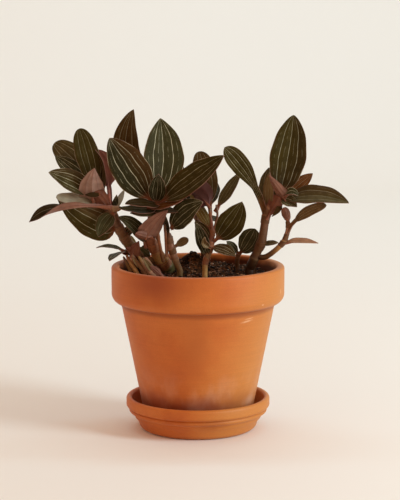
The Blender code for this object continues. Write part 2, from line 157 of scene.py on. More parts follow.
def finish_piece(name: str, shape: BMesh, materials: Sequence[bpy.types.Material],
                 sharp: float = 40.0) -> bpy.types.Object:
    """Turns a bmesh in millimetres into a smooth-shaded object at the origin, in metres.

    Args:
        name: the piece's name.
        shape: the bmesh, which is freed.
        materials: the materials in the order of the faces' slots.
        sharp: edges bent by more than this many degrees stay sharp.

    Returns:
        The new object.
    """
    bmesh.ops.scale(shape, vec=(MM, MM, MM), verts=shape.verts)
    mesh = bpy.data.meshes.new(name)
    shape.to_mesh(mesh)
    shape.free()
    for finish in materials:
        mesh.materials.append(finish)
    mesh.shade_smooth()
    mesh.set_sharp_from_angle(angle=math.radians(sharp))
    piece = bpy.data.objects.new(name, mesh)
    bpy.context.scene.collection.objects.link(piece)
    log.info("%s: %d faces", name, len(mesh.polygons))
    return piece


def dress(piece: bpy.types.Object, slot: str, *nodes: str) -> None:
    """Lets a piece ride on the body and stand for CAD nodes.

    Args:
        piece: the finished piece.
        slot: not used.
        nodes: the CAD nodes that it stands for.
    """
    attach(piece, BODY)
    if nodes:
        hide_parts(*nodes)


def absorb(whole: BMesh, part: BMesh) -> None:
    """Moves one bmesh into another.

    Args:
        whole: the bmesh that grows.
        part: the bmesh that goes into it, which is freed.
    """
    carrier = bpy.data.meshes.new("carrier")
    part.to_mesh(carrier)
    part.free()
    whole.from_mesh(carrier)
    bpy.data.meshes.remove(carrier)


def turned(profile: Sequence[Pair], sides: int, closed: bool) -> BMesh:
    """Spins a profile round the vertical axis.

    Args:
        profile: points as (radius, height), in order.
        sides: number of steps round.
        closed: whether the last point joins the first.

    Returns:
        A closed shell with its faces outwards.
    """
    shape = bmesh.new()
    corners = [shape.verts.new((radius, 0.0, height)) for radius, height in profile]
    pairs = list(zip(corners, corners[1:]))
    if closed:
        pairs.append((corners[-1], corners[0]))
    edges = [shape.edges.new(pair) for pair in pairs]
    bmesh.ops.spin(shape, geom=corners + edges, cent=(0, 0, 0), axis=(0, 0, 1),
                   angle=2 * math.pi, steps=sides, use_merge=True)
    bmesh.ops.remove_doubles(shape, verts=shape.verts, dist=MERGE)
    bmesh.ops.recalc_face_normals(shape, faces=shape.faces)
    return shape


def arc(centre_r: float, centre_z: float, radius: float, start: float, end: float,
        steps: int) -> list[Pair]:
    """Points of an arc in a turned profile, its angles in degrees from the outward direction."""
    angles = [math.radians(start + (end - start) * step / steps) for step in range(steps + 1)]
    return [(centre_r + radius * math.cos(a), centre_z + radius * math.sin(a)) for a in angles]


def straight(start: Pair, end: Pair, step: float) -> list[Pair]:
    """Points of a straight stretch of profile, without its last one."""
    count = max(1, round(math.dist(start, end) / step))
    return [blend(start, end, number / count) for number in range(count)]


class Sheet:
    """A flat grid that is bent to shape and carries its UV maps and colours.

    Every rule takes two numbers from 0 to 1: across the grid and along it.
    """

    def __init__(self, columns: int, rows: int) -> None:
        """Starts from a flat grid.

        Args:
            columns: number of faces across.
            rows: number of faces along.
        """
        self.shape = bmesh.new()
        bmesh.ops.create_grid(self.shape, x_segments=columns, y_segments=rows, size=0.5)
        self.shape.verts.index_update()
        self.spots = [(corner.co.x + 0.5, corner.co.y + 0.5) for corner in self.shape.verts]

    def bend(self, place: Rule) -> None:
        """Moves each corner to the point its rule gives."""
        for corner, spot in zip(self.shape.verts, self.spots):
            corner.co = place(*spot)

    def map_uv(self, name: str, rule: Rule) -> None:
        """Writes a UV map.

        Args:
            name: the map's name.
            rule: gives a corner's u and v.
        """
        layer = self.shape.loops.layers.uv.new(name)
        found = [rule(*spot) for spot in self.spots]
        for face in self.shape.faces:
            for loop in face.loops:
                loop[layer].uv = found[loop.vert.index]

    def write(self, layer: Any, rule: Rule) -> None:
        """Writes one value for each corner to a layer."""
        for corner, spot in zip(self.shape.verts, self.spots):
            corner[layer] = rule(*spot)

    def paint(self, name: str, rule: Rule) -> None:
        """Writes a colour for each corner."""
        self.write(self.shape.verts.layers.float_color.new(name), rule)

    def measure(self, name: str, rule: Rule) -> None:
        """Writes a number for each corner."""
        self.write(self.shape.verts.layers.float.new(name), rule)

    def weigh(self, rule: Rule) -> None:
        """Writes the first vertex group.

        Args:
            rule: gives a corner's weight.
        """
        layer = self.shape.verts.layers.deform.verify()
        for corner, spot in zip(self.shape.verts, self.spots):
            corner[layer][0] = rule(*spot)

    def close(self) -> BMesh:
        """Joins the seam and the ends where they meet, and turns the faces outwards.

        Returns:
            The closed bmesh.
        """
        bmesh.ops.remove_doubles(self.shape, verts=self.shape.verts, dist=MERGE)
        bmesh.ops.recalc_face_normals(self.shape, faces=self.shape.faces)
        return self.shape


def thicken(shape: BMesh, thickness: float, thin_part: float = 1.0) -> BMesh:
    """Gives a sheet its thickness. The under side and the rim get the next material slot.

    Args:
        shape: the sheet, which is freed.
        thickness: in millimetres, half to each side.
        thin_part: share of the thickness where the first vertex group weighs nothing.

    Returns:
        The closed shell.
    """
    mesh = bpy.data.meshes.new("sheet")
    shape.to_mesh(mesh)
    shape.free()
    mesh.materials.append(None)
    mesh.materials.append(None)
    sheet = bpy.data.objects.new("sheet", mesh)
    bpy.context.scene.collection.objects.link(sheet)
    wall = sheet.modifiers.new("wall", "SOLIDIFY")
    wall.thickness = thickness
    wall.offset = 0.0
    wall.material_offset = 1
    wall.material_offset_rim = 1
    if thin_part < 1.0:
        sheet.vertex_groups.new(name="full")
        wall.vertex_group = "full"
        wall.thickness_vertex_group = thin_part
    graph = bpy.context.evaluated_depsgraph_get()
    solid = bpy.data.meshes.new_from_object(sheet.evaluated_get(graph), depsgraph=graph)
    bpy.data.objects.remove(sheet)
    shell = bmesh.new()
    shell.from_mesh(solid)
    bpy.data.meshes.remove(solid)
    return shell


@dataclass(frozen=True)
class Mark:
    """A patch or a scratch on clay, also used for painted shade and painted highlights: its middle,
    half its width and height, and how it tilts.

    The middle and the halves are in millimetres. rise is in degrees, up to the viewer's right,
    and depth is how much of the clay's own colour it covers.
    """

    spot: Point
    wide: float
    high: float
    colour: str
    depth: float
    rise: float = 0.0

    FULL = 0.2
    END = 1.2
    RAGGED = 0.4
    RAGGED_SIZE = 0.8
    FINEST = 1.5

    def over(self, tree: Tree, place: Socket, colour: Socket) -> Socket:
        """Lays the mark over the clay, with a soft and slightly ragged edge.

        Args:
            tree: the material's node tree.
            place: Object coordinates.
            colour: the clay's colour so far.

        Returns:
            The colour with the mark.
        """
        local = add(tree, "ShaderNodeMapping", {
            0: place, "Location": tuple(value * MM for value in self.spot),
            "Rotation": (0.0, -math.radians(self.rise), 0.0),
            "Scale": (self.wide * MM, self.wide * MM, self.high * MM)}, vector_type="TEXTURE")[0]
        away = add(tree, "ShaderNodeVectorMath", {0: local}, operation="LENGTH")[1]
        ragged = add(tree, "ShaderNodeTexNoise", {"Vector": place, "Detail": 3.0, "Scale":
                     per_metre(max(self.FINEST, self.high * self.RAGGED_SIZE))})["Fac"]
        away = add(tree, "ShaderNodeMath", {0: ragged, 1: self.RAGGED, 2: away},
                   operation="MULTIPLY_ADD")[0]
        cover = add(tree, "ShaderNodeMapRange", {0: away, 1: self.FULL, 2: self.END,
                    3: self.depth, 4: 0.0}, **SMOOTH)[0]
        return add(tree, "ShaderNodeMix", {0: cover, 6: colour, 7: linear(self.colour)},
                   **COLOURS)[2]


@dataclass(frozen=True)
class DampFoot:
    """The foot of a pot that has stood in water: brown while damp, hazed by salts above that.

    Sizes are in millimetres. Drops are counted down from the top of the damp and the rise up from
    it. The damp has a wavy edge and is fainter on the viewer's right, which has begun to dry.
    """

    top: float
    damp: str = "#8C4028"
    damp_drops: Pair = (19.0, 3.0)
    damp_cover: float = 0.8
    wave_size: float = 22.0
    wave_high: float = 20.0
    drying: Pair = (10.0, 45.0)
    dried_cover: float = 0.35
    salts: str = "#DCB294"
    salts_drops: Pair = (24.0, 8.0)
    salts_rise: float = 34.0
    salts_cover: float = 0.16
    salts_size: float = 17.0

    def over(self, tree: Tree, place: Socket, colour: Socket) -> Socket:
        """Lays the damp and the salts over the clay.

        Args:
            tree: the material's node tree.
            place: Object coordinates.
            colour: the clay's colour so far.

        Returns:
            The colour with both.
        """
        sides = add(tree, "ShaderNodeSeparateXYZ", {0: place})
        height = sides["Z"]
        waves = add(tree, "ShaderNodeTexNoise", {"Vector": place, "Detail": 3.0,
                    "Scale": per_metre(self.wave_size)})["Fac"]
        level = add(tree, "ShaderNodeMath", {0: waves, 1: -self.wave_high * MM, 2: height},
                    operation="MULTIPLY_ADD")[0]
        full, end = ((self.top - drop) * MM for drop in self.damp_drops)
        damp = add(tree, "ShaderNodeMapRange", {0: level, 1: full, 2: end, 3: self.damp_cover,
                   4: 0.0}, **SMOOTH)[0]
        near, far = (side * MM for side in self.drying)
        dried = add(tree, "ShaderNodeMapRange", {0: sides["X"], 1: near, 2: far, 3: 1.0,
                    4: self.dried_cover}, **SMOOTH)[0]
        damp = add(tree, "ShaderNodeMath", {0: damp, 1: dried}, operation="MULTIPLY")[0]
        colour = add(tree, "ShaderNodeMix", {0: damp, 6: colour, 7: linear(self.damp)},
                     **COLOURS)[2]
        haze = self.haze(tree, place, height)
        return add(tree, "ShaderNodeMix", {0: haze, 6: colour, 7: linear(self.salts)}, **COLOURS)[2]

    def haze(self, tree: Tree, place: Socket, height: Socket) -> Socket:
        """How much a cloudy band of salts covers.

        Args:
            tree: the material's node tree.
            place: Object coordinates.
            height: their Z.

        Returns:
            The cover at a place.
        """
        upright = add(tree, "ShaderNodeMapping", {0: place, "Scale": (1.0, 1.0, 0.55),
                      "Location": (0.31, 0.2, 0.1)})[0]
        cloud = add(tree, "ShaderNodeTexNoise", {"Vector": upright, "Detail": 4.0,
                    "Roughness": 0.5, "Scale": per_metre(self.salts_size)})["Fac"]
        start, full = ((self.top - drop) * MM for drop in self.salts_drops)
        rising = add(tree, "ShaderNodeMapRange", {0: height, 1: start, 2: full}, **SMOOTH)[0]
        fading = add(tree, "ShaderNodeMapRange", {0: height, 1: self.top * MM,
                     2: (self.top + self.salts_rise) * MM, 3: 1.0, 4: 0.0}, **SMOOTH)[0]
        cloudy = add(tree, "ShaderNodeMapRange", {0: cloud, 1: 0.42, 2: 0.68, 3: 0.0,
                     4: self.salts_cover}, **SMOOTH)[0]
        band = add(tree, "ShaderNodeMath", {0: rising, 1: fading}, operation="MULTIPLY")[0]
        return add(tree, "ShaderNodeMath", {0: band, 1: cloudy}, operation="MULTIPLY")[0]


@dataclass(frozen=True)
class CreaseShade:
    """Painted shade in the crease under a collar, where the collar shadows the body.

    Sizes are in millimetres. Drops are counted down from the crease and rises up from it.
    """

    crease: float
    colour: str = "#84380E"
    cover: float = 0.6
    drops: Pair = (7.0, 3.0)
    rises: Pair = (0.5, 3.0)
    wave_size: float = 30.0
    wave_high: float = 3.0

    def over(self, tree: Tree, place: Socket, colour: Socket) -> Socket:
        """Lays the painted shade over the clay.

        Args:
            tree: the material's node tree.
            place: Object coordinates.
            colour: the clay's colour so far.

        Returns:
            The colour with the painted shade under the collar.
        """
        height = add(tree, "ShaderNodeSeparateXYZ", {0: place})["Z"]
        waves = add(tree, "ShaderNodeTexNoise", {"Vector": place, "Detail": 2.0,
                    "Scale": per_metre(self.wave_size)})["Fac"]
        level = add(tree, "ShaderNodeMath", {0: waves, 1: -self.wave_high * MM, 2: height},
                    operation="MULTIPLY_ADD")[0]
        start, full = ((self.crease - drop) * MM for drop in self.drops)
        below = add(tree, "ShaderNodeMapRange", {0: level, 1: start, 2: full, 3: 0.0,
                    4: self.cover}, **SMOOTH)[0]
        start, end = ((self.crease + rise) * MM for rise in self.rises)
        above = add(tree, "ShaderNodeMapRange", {0: height, 1: start, 2: end, 3: 1.0, 4: 0.0},
                    **SMOOTH)[0]
        # Painted shade: a dark band just under the collar, fading out upwards.
        crease_shade = add(tree, "ShaderNodeMath", {0: below, 1: above}, operation="MULTIPLY")[0]
        return add(tree, "ShaderNodeMix", {0: crease_shade, 6: colour, 7: linear(self.colour)},
                   **COLOURS)[2]


@dataclass(frozen=True)
class SoakedShadedWall:
    """The inside of a pot's wall, dark up to just below the lip, partly with damp and partly with
    painted shade in the pot's hollow.

    Sizes are in millimetres: the wall's inner radius, and where the dark starts and ends.
    """

    radius: float
    low: float
    high: float
    colour: str = "#401404"
    cover: float = 0.92
    radius_soft: float = 1.5
    low_soft: float = 2.0
    high_soft: float = 3.0
    wave_size: float = 14.0
    wave_high: float = 5.0

    def wet_and_shade_cover(self, tree: Tree, place: Socket) -> Socket:
        """How far the damp and the painted shade cover the clay.

        Args:
            tree: the material's node tree.
            place: Object coordinates.

        Returns:
            The cover at a place.
        """
        height = add(tree, "ShaderNodeSeparateXYZ", {0: place})["Z"]
        flat = add(tree, "ShaderNodeVectorMath", {0: place, 1: (1.0, 1.0, 0.0)},
                   operation="MULTIPLY")[0]
        away = add(tree, "ShaderNodeVectorMath", {0: flat}, operation="LENGTH")[1]
        within = add(tree, "ShaderNodeMapRange", {0: away, 1: self.radius * MM,
                     2: (self.radius + self.radius_soft) * MM, 3: 1.0, 4: 0.0}, **SMOOTH)[0]
        above = add(tree, "ShaderNodeMapRange", {0: height, 1: self.low * MM,
                    2: (self.low + self.low_soft) * MM})[0]
        waves = add(tree, "ShaderNodeTexNoise", {"Vector": place, "Detail": 3.0,
                    "Scale": per_metre(self.wave_size)})["Fac"]
        level = add(tree, "ShaderNodeMath", {0: waves, 1: self.wave_high * MM, 2: height},
                    operation="MULTIPLY_ADD")[0]
        below = add(tree, "ShaderNodeMapRange", {0: level, 1: (self.high - self.high_soft) * MM,
                    2: (self.high + self.high_soft) * MM, 3: self.cover, 4: 0.0}, **SMOOTH)[0]
        wet_and_shade = add(tree, "ShaderNodeMath", {0: within, 1: above}, operation="MULTIPLY")[0]
        return add(tree, "ShaderNodeMath", {0: wet_and_shade, 1: below}, operation="MULTIPLY")[0]


@dataclass(frozen=True)
class FiredClay:
    """Terracotta, turned on a wheel and baked in a kiln without a glaze.

    It is orange, smooth and dry with a soft gloss, and shows faint drag lines from the turning
    tool, fine grit and slight cloudiness from the kiln. Its right side, where the light falls,
    is painted yellower as a highlight.
    Sizes are in millimetres. The tool lines and the grit are coarser than real ones, which the
    render is too small to show.
    """

    name: str
    patch_size: float = 55.0
    line_step: float = 1.3
    grit_size: float = 0.8
    # The damp foot is a real stain; the band under the collar is painted shade.
    wear_and_painted_shade: Sequence[DampFoot | CreaseShade] = ()
    soaked_and_shaded: SoakedShadedWall | None = None
    marks_and_painted_light: Sequence[Mark] = ()
    body: str = "#C26420"
    dusty: str = "#C96E2A"
    burnt: str = "#B95A1A"
    lit_side_colour: str = "#C27630"
    dust: str = "#FFE2C8"

    LINE_DRAG = 0.02
    LINE_SHADE = (0.97, 1.03)
    GRIT_SHADE = (0.94, 1.05)
    RELIEF = 0.1
    LIT_SIDE_FROM = -17.0
    LIT_SIDE_FULL = 43.0
    LIT_SIDE_LEAN = -0.4
    LIT_SIDE_RAGGED = 30.0
    ROUGHNESS = 0.55
    SHEEN = 0.1
    GLOSS = 0.35
    WET_GLOSS = 0.08

    def kiln_colour_and_lit_side(self, tree: Tree, place: Socket) -> Socket:
        """The clay's colour: cloudy from the kiln, and yellower on the viewer's right as a painted
        highlight.

        Args:
            tree: the material's node tree.
            place: Object coordinates.

        Returns:
            The colour at a place.
        """
        sides = add(tree, "ShaderNodeSeparateXYZ", {0: place})
        patches = add(tree, "ShaderNodeTexNoise", {"Vector": place, "Detail": 5.0,
                      "Roughness": 0.6, "Scale": per_metre(self.patch_size)})["Fac"]
        colour = add(tree, "ShaderNodeValToRGB", {0: patches}, stops=(
            (0.32, self.burnt), (0.5, self.body), (0.68, self.dusty)))[0]
        # Painted highlight: the clay turns yellower towards the right, where the light falls.
        lit_side = add(tree, "ShaderNodeMath", {0: patches, 1: self.LIT_SIDE_RAGGED * MM,
                    2: sides["X"]}, operation="MULTIPLY_ADD")[0]
        lit_side = add(tree, "ShaderNodeMath", {0: sides["Z"], 1: self.LIT_SIDE_LEAN, 2: lit_side},
                    operation="MULTIPLY_ADD")[0]
        lit_side = add(tree, "ShaderNodeMapRange", {0: lit_side, 1: self.LIT_SIDE_FROM * MM,
                    2: self.LIT_SIDE_FULL * MM}, **SMOOTH)[0]
        return add(tree, "ShaderNodeMix", {0: lit_side, 6: colour, 7: linear(self.lit_side_colour)},
                   **COLOURS)[2]

    def make(self) -> bpy.types.Material:
        """Builds the material on Object coordinates.

        Returns:
            The material.
        """
        made, tree = new_material(self.name)
        place = add(tree, "ShaderNodeTexCoord")["Object"]
        drawn = add(tree, "ShaderNodeMapping", {0: place, "Scale": (
            self.LINE_DRAG, self.LINE_DRAG, 1.0)})[0]
        lines = add(tree, "ShaderNodeTexNoise", {"Vector": drawn, "Detail": 3.0,
                    "Scale": per_metre(self.line_step)})["Fac"]
        grit = add(tree, "ShaderNodeTexNoise", {"Vector": place, "Detail": 2.0,
                   "Scale": per_metre(self.grit_size)})["Fac"]
        shades = [add(tree, "ShaderNodeMapRange", {0: pattern, 1: 0.3, 2: 0.7, 3: deep,
                      4: pale})[0]
                  for pattern, (deep, pale) in ((lines, self.LINE_SHADE),
                                                (grit, self.GRIT_SHADE))]
        shade = add(tree, "ShaderNodeMath", {0: shades[0], 1: shades[1]}, operation="MULTIPLY")[0]
        colour = self.kiln_colour_and_lit_side(tree, place)
        colour = add(tree, "ShaderNodeVectorMath", {0: colour, 3: shade}, operation="SCALE")[0]
        for layer in self.wear_and_painted_shade:
            colour = layer.over(tree, place, colour)
        sheen, gloss = self.SHEEN, self.GLOSS
        if self.soaked_and_shaded:
            # Damp and painted shade darken the inner wall; the same cover dulls its sheen and gloss.
            wet_and_shade = self.soaked_and_shaded.wet_and_shade_cover(tree, place)
            colour = add(tree, "ShaderNodeMix", {
                0: wet_and_shade, 6: colour, 7: linear(self.soaked_and_shaded.colour)}, **COLOURS)[2]
            sheen = add(tree, "ShaderNodeMapRange", {0: wet_and_shade, 3: sheen, 4: 0.0})[0]
            gloss = add(tree, "ShaderNodeMapRange", {0: wet_and_shade, 3: gloss, 4: self.WET_GLOSS})[0]
        for mark in self.marks_and_painted_light:
            colour = mark.over(tree, place, colour)
        relief = add(tree, "ShaderNodeMath", {0: lines, 1: grit}, operation="ADD")[0]
        bump = add(tree, "ShaderNodeBump", {"Height": relief, "Strength": 0.3,
                   "Distance": self.RELIEF * MM})[0]
        surface = add(tree, "ShaderNodeBsdfPrincipled", {
            "Base Color": colour, "Roughness": self.ROUGHNESS, "IOR": 1.5,
            "Specular IOR Level": gloss, "Sheen Weight": sheen, "Sheen Roughness": 0.5,
            "Sheen Tint": linear(self.dust), "Normal": bump})[0]
        add(tree, "ShaderNodeOutputMaterial", {"Surface": surface})
        return made


@dataclass(frozen=True)
class VelvetLeaf:
    """Upper side of a jewel orchid leaf.

    Tiny domed cells make it velvety: near black with an olive or bronze cast, and almost without
    gloss. Pale veins run from the stalk to the tip, with thinner ones and a faint net between.
    Sizes are in millimetres, vein_gap and wander in half widths of the leaf. The domes are far
    larger than real cells, which the render is too small to show.
    """

    name: str = "leaf_upper_velvet"
    vein: str = "#CFC3A0"
    net: str = "#6E6038"
    margin: str = "#4C2C14"
    vein_gap: float = 0.5
    vein_thin: float = 0.1
    vein_wide: float = 0.36
    wide_leaf: float = 18.0
    wander: float = 0.05
    wander_size: float = 11.0
    net_size: float = 3.0
    cloud_size: float = 7.0
    cell: float = 0.5

    MINOR_COVER = 0.3
    NET_LINE = 0.08
    NET_COVER = 0.16
    MARGIN_FROM = 0.88
    MARGIN_COVER = 0.75
    SHADE = (0.78, 1.22)
    VEIN_SUNK = 1.5
    RELIEF = 0.1

    def veins(self, tree: Tree, across: Socket, span: Socket) -> tuple[Socket, Socket]:
        """The long veins, which are as much wider as the leaf is.

        Args:
            tree: the material's node tree.
            across: the place between the margins, from -1 to 1.
            span: the flat place on the leaf.

        Returns:
            How strongly the main veins and the thinner ones between them show.
        """
        half = add(tree, "ShaderNodeAttribute", attribute_name="half_width")["Fac"]
        drift = add(tree, "ShaderNodeTexNoise", {"Vector": span, "Detail": 1.0,
                    "Scale": per_metre(self.wander_size)})["Fac"]
        wander = add(tree, "ShaderNodeMapRange", {0: drift, 3: -self.wander, 4: self.wander})[0]
        drawn = add(tree, "ShaderNodeMath", {0: across, 1: wander}, operation="ADD")[0]
        nearest = add(tree, "ShaderNodeMath", {0: drawn, 1: self.vein_gap / 2},
                      operation="PINGPONG")[0]
        between = add(tree, "ShaderNodeMath", {0: self.vein_gap / 2, 1: nearest},
                      operation="SUBTRACT")[0]
        reach = add(tree, "ShaderNodeMapRange", {0: half, 1: 0.0, 2: self.wide_leaf,
                    3: self.vein_thin, 4: self.vein_wide})[0]
        scale = add(tree, "ShaderNodeMath", {0: half, 1: reach}, operation="DIVIDE")[0]
        away = add(tree, "ShaderNodeMath", {0: nearest, 1: scale}, operation="MULTIPLY")[0]
        main = add(tree, "ShaderNodeMapRange", {0: away, 1: 0.3, 2: 1.0, 3: 1.0, 4: 0.0},
                   **SMOOTH)[0]
        away = add(tree, "ShaderNodeMath", {0: between, 1: scale}, operation="MULTIPLY")[0]
        minor = add(tree, "ShaderNodeMapRange", {0: away, 1: 0.2, 2: 0.8, 3: self.MINOR_COVER,
                    4: 0.0}, **SMOOTH)[0]
        return main, minor

    def netting(self, tree: Tree, span: Socket) -> Socket:
        """The faint net of cross veins.

        Args:
            tree: the material's node tree.
            span: the flat place on the leaf.

        Returns:
            How strongly it shows.
        """
        long = add(tree, "ShaderNodeMapping", {0: span, "Scale": (1.0, 1.8, 1.0)})[0]
        edge = add(tree, "ShaderNodeTexVoronoi", {"Vector": long, "Scale":
                   per_metre(self.net_size)}, feature="DISTANCE_TO_EDGE",
                   voronoi_dimensions="2D")[0]
        return add(tree, "ShaderNodeMapRange", {0: edge, 1: 0.0, 2: self.NET_LINE,
                   3: self.NET_COVER, 4: 0.0}, **SMOOTH)[0]

    def make(self) -> bpy.types.Material:
        """Builds the material on the leaf's own UV maps and colours.

        Returns:
            The material.
        """
        made, tree = new_material(self.name)
        blade = add(tree, "ShaderNodeUVMap", uv_map="blade")[0]
        span = add(tree, "ShaderNodeUVMap", uv_map="span")[0]
        tone = add(tree, "ShaderNodeAttribute", attribute_name="upper_tone")["Color"]
        show = add(tree, "ShaderNodeAttribute", attribute_name="vein_show")["Fac"]
        stalk = add(tree, "ShaderNodeAttribute", attribute_name="stalk_part")["Fac"]
        stem = add(tree, "ShaderNodeAttribute", attribute_name="stalk_tone")["Color"]
        spots = add(tree, "ShaderNodeSeparateXYZ", {0: blade})
        across = add(tree, "ShaderNodeMapRange", {0: spots["X"], 3: -1.0, 4: 1.0})[0]
        cloud = add(tree, "ShaderNodeTexNoise", {"Vector": span, "Detail": 4.0,
                    "Scale": per_metre(self.cloud_size)})["Fac"]
        deep, pale = self.SHADE
        shade = add(tree, "ShaderNodeMapRange", {0: cloud, 1: 0.25, 2: 0.75, 3: deep,
                    4: pale})[0]
        colour = add(tree, "ShaderNodeVectorMath", {0: tone, 3: shade}, operation="SCALE")[0]
        rim = add(tree, "ShaderNodeMath", {0: across}, operation="ABSOLUTE")[0]
        margin = add(tree, "ShaderNodeMapRange", {0: rim, 1: self.MARGIN_FROM, 2: 1.0, 3: 0.0,
                     4: self.MARGIN_COVER}, **SMOOTH)[0]
        colour = add(tree, "ShaderNodeMix", {0: margin, 6: colour, 7: linear(self.margin)},
                     **COLOURS)[2]
        net = add(tree, "ShaderNodeMath", {0: self.netting(tree, span), 1: show},
                  operation="MULTIPLY")[0]
        colour = add(tree, "ShaderNodeMix", {0: net, 6: colour, 7: linear(self.net)}, **COLOURS)[2]
        main, minor = self.veins(tree, across, span)
        broken = add(tree, "ShaderNodeMapRange", {0: cloud, 1: 0.34, 2: 0.62, 3: 0.45, 4: 1.0})[0]
        patchy = add(tree, "ShaderNodeMapRange", {0: cloud, 1: 0.46, 2: 0.58})[0]
        bright = add(tree, "ShaderNodeMath", {0: main, 1: broken}, operation="MULTIPLY")[0]
        lit = add(tree, "ShaderNodeMath", {0: minor, 1: patchy, 2: bright},
                  operation="MULTIPLY_ADD", use_clamp=True)[0]
        lit = add(tree, "ShaderNodeMath", {0: lit, 1: show}, operation="MULTIPLY")[0]
        colour = add(tree, "ShaderNodeMix", {0: lit, 6: colour, 7: linear(self.vein)}, **COLOURS)[2]
        colour = add(tree, "ShaderNodeMix", {0: stalk, 6: colour, 7: stem}, **COLOURS)[2]
        domes = add(tree, "ShaderNodeTexVoronoi", {"Vector": span, "Scale": per_metre(self.cell)},
                    voronoi_dimensions="2D")[0]
        sunk = add(tree, "ShaderNodeMath", {0: main, 1: -self.VEIN_SUNK, 2: domes},
                   operation="MULTIPLY_ADD")[0]
        bump = add(tree, "ShaderNodeBump", {"Height": sunk, "Strength": 0.6,
                   "Distance": self.RELIEF * MM})[0]
        surface = add(tree, "ShaderNodeBsdfPrincipled", {
            "Base Color": colour, "Roughness": 0.5, "IOR": 1.45, "Specular IOR Level": 0.05,
            "Normal": bump})[0]
        add(tree, "ShaderNodeOutputMaterial", {"Surface": surface})
        return made


@dataclass(frozen=True)
class LeafUnderside:
    """Under side of a jewel orchid leaf: smooth, matte and wine red, with raised veins.

    Sizes are in millimetres, vein_gap in half widths of the leaf.
    """

    name: str = "leaf_underside_red"
    vein: str = "#6A2E26"
    vein_gap: float = 0.5
    vein_half: float = 0.5
    cloud_size: float = 6.0

    VEIN_CORE = 0.1
    VEIN_COVER = 0.35
    SHADE = (0.72, 1.25)
    RELIEF = 0.25

    def make(self) -> bpy.types.Material:
        """Builds the material on the leaf's own UV maps and colours.

        Returns:
            The material.
        """
        made, tree = new_material(self.name)
        blade = add(tree, "ShaderNodeUVMap", uv_map="blade")[0]
        span = add(tree, "ShaderNodeUVMap", uv_map="span")[0]
        tone = add(tree, "ShaderNodeAttribute", attribute_name="under_tone")["Color"]
        half = add(tree, "ShaderNodeAttribute", attribute_name="half_width")["Fac"]
        spots = add(tree, "ShaderNodeSeparateXYZ", {0: blade})
        across = add(tree, "ShaderNodeMapRange", {0: spots["X"], 3: -1.0, 4: 1.0})[0]
        nearest = add(tree, "ShaderNodeMath", {0: across, 1: self.vein_gap / 2},
                      operation="PINGPONG")[0]
        away = add(tree, "ShaderNodeMath", {0: nearest, 1: half}, operation="MULTIPLY")[0]
        line = add(tree, "ShaderNodeMapRange", {0: away, 1: self.VEIN_CORE, 2: self.vein_half,
                   3: 1.0, 4: 0.0}, **SMOOTH)[0]
        cloud = add(tree, "ShaderNodeTexNoise", {"Vector": span, "Detail": 4.0,
                    "Scale": per_metre(self.cloud_size)})["Fac"]
        deep, pale = self.SHADE
        shade = add(tree, "ShaderNodeMapRange", {0: cloud, 1: 0.25, 2: 0.75, 3: deep,
                    4: pale})[0]
        colour = add(tree, "ShaderNodeVectorMath", {0: tone, 3: shade}, operation="SCALE")[0]
        cover = add(tree, "ShaderNodeMath", {0: line, 1: self.VEIN_COVER}, operation="MULTIPLY")[0]
        colour = add(tree, "ShaderNodeMix", {0: cover, 6: colour, 7: linear(self.vein)},
                     **COLOURS)[2]
        bump = add(tree, "ShaderNodeBump", {"Height": line, "Strength": 0.5,
                   "Distance": self.RELIEF * MM})[0]
        surface = add(tree, "ShaderNodeBsdfPrincipled", {
            "Base Color": colour, "Roughness": 0.55, "IOR": 1.45, "Specular IOR Level": 0.3,
            "Normal": bump})[0]
        add(tree, "ShaderNodeOutputMaterial", {"Surface": surface})
        return made


@dataclass(frozen=True)
class StemSkin:
    """Skin of a fleshy stem: smooth and a little waxy, streaked lengthwise and finely flecked.

    An old sheath has the same streaks, but finer, and is dry and matte as paper. Sizes are in
    millimetres.
    """

    name: str = "stem_skin_waxy"
    roughness: float = 0.46
    streak: float = 2.2
    fleck: float = 1.4

    DRAWN = 0.18
    SHADE = (0.62, 1.4)
    RELIEF = 0.3
    FLESH_GLOW = (0.004, 0.0015, 0.0008)

    def make(self) -> bpy.types.Material:
        """Builds the material on the stem's own UV map and colours.

        Returns:
            The material.
        """
        made, tree = new_material(self.name)
        run = add(tree, "ShaderNodeUVMap", uv_map="run")[0]
        tone = add(tree, "ShaderNodeAttribute", attribute_name="skin")["Color"]
        drawn = add(tree, "ShaderNodeMapping", {0: run, "Scale": (1.0, self.DRAWN, 1.0)})[0]
        streaks = add(tree, "ShaderNodeTexNoise", {"Vector": drawn, "Detail": 4.0,
                      "Scale": per_metre(self.streak)})["Fac"]
        flecks = add(tree, "ShaderNodeTexNoise", {"Vector": run, "Detail": 3.0,
                     "Scale": per_metre(self.fleck)})["Fac"]
        both = add(tree, "ShaderNodeMath", {0: streaks, 1: flecks}, operation="ADD")[0]
        deep, pale = self.SHADE
        shade = add(tree, "ShaderNodeMapRange", {0: both, 1: 0.6, 2: 1.4, 3: deep, 4: pale})[0]
        colour = add(tree, "ShaderNodeVectorMath", {0: tone, 3: shade}, operation="SCALE")[0]
        bump = add(tree, "ShaderNodeBump", {"Height": streaks, "Strength": 0.5,
                   "Distance": self.RELIEF * MM})[0]
        surface = add(tree, "ShaderNodeBsdfPrincipled", {
            "Base Color": colour, "Roughness": self.roughness, "IOR": 1.45,
            "Specular IOR Level": 0.4, "Subsurface Weight": 0.06,
            "Subsurface Radius": self.FLESH_GLOW, "Normal": bump})[0]
        add(tree, "ShaderNodeOutputMaterial", {"Surface": surface})
        return made


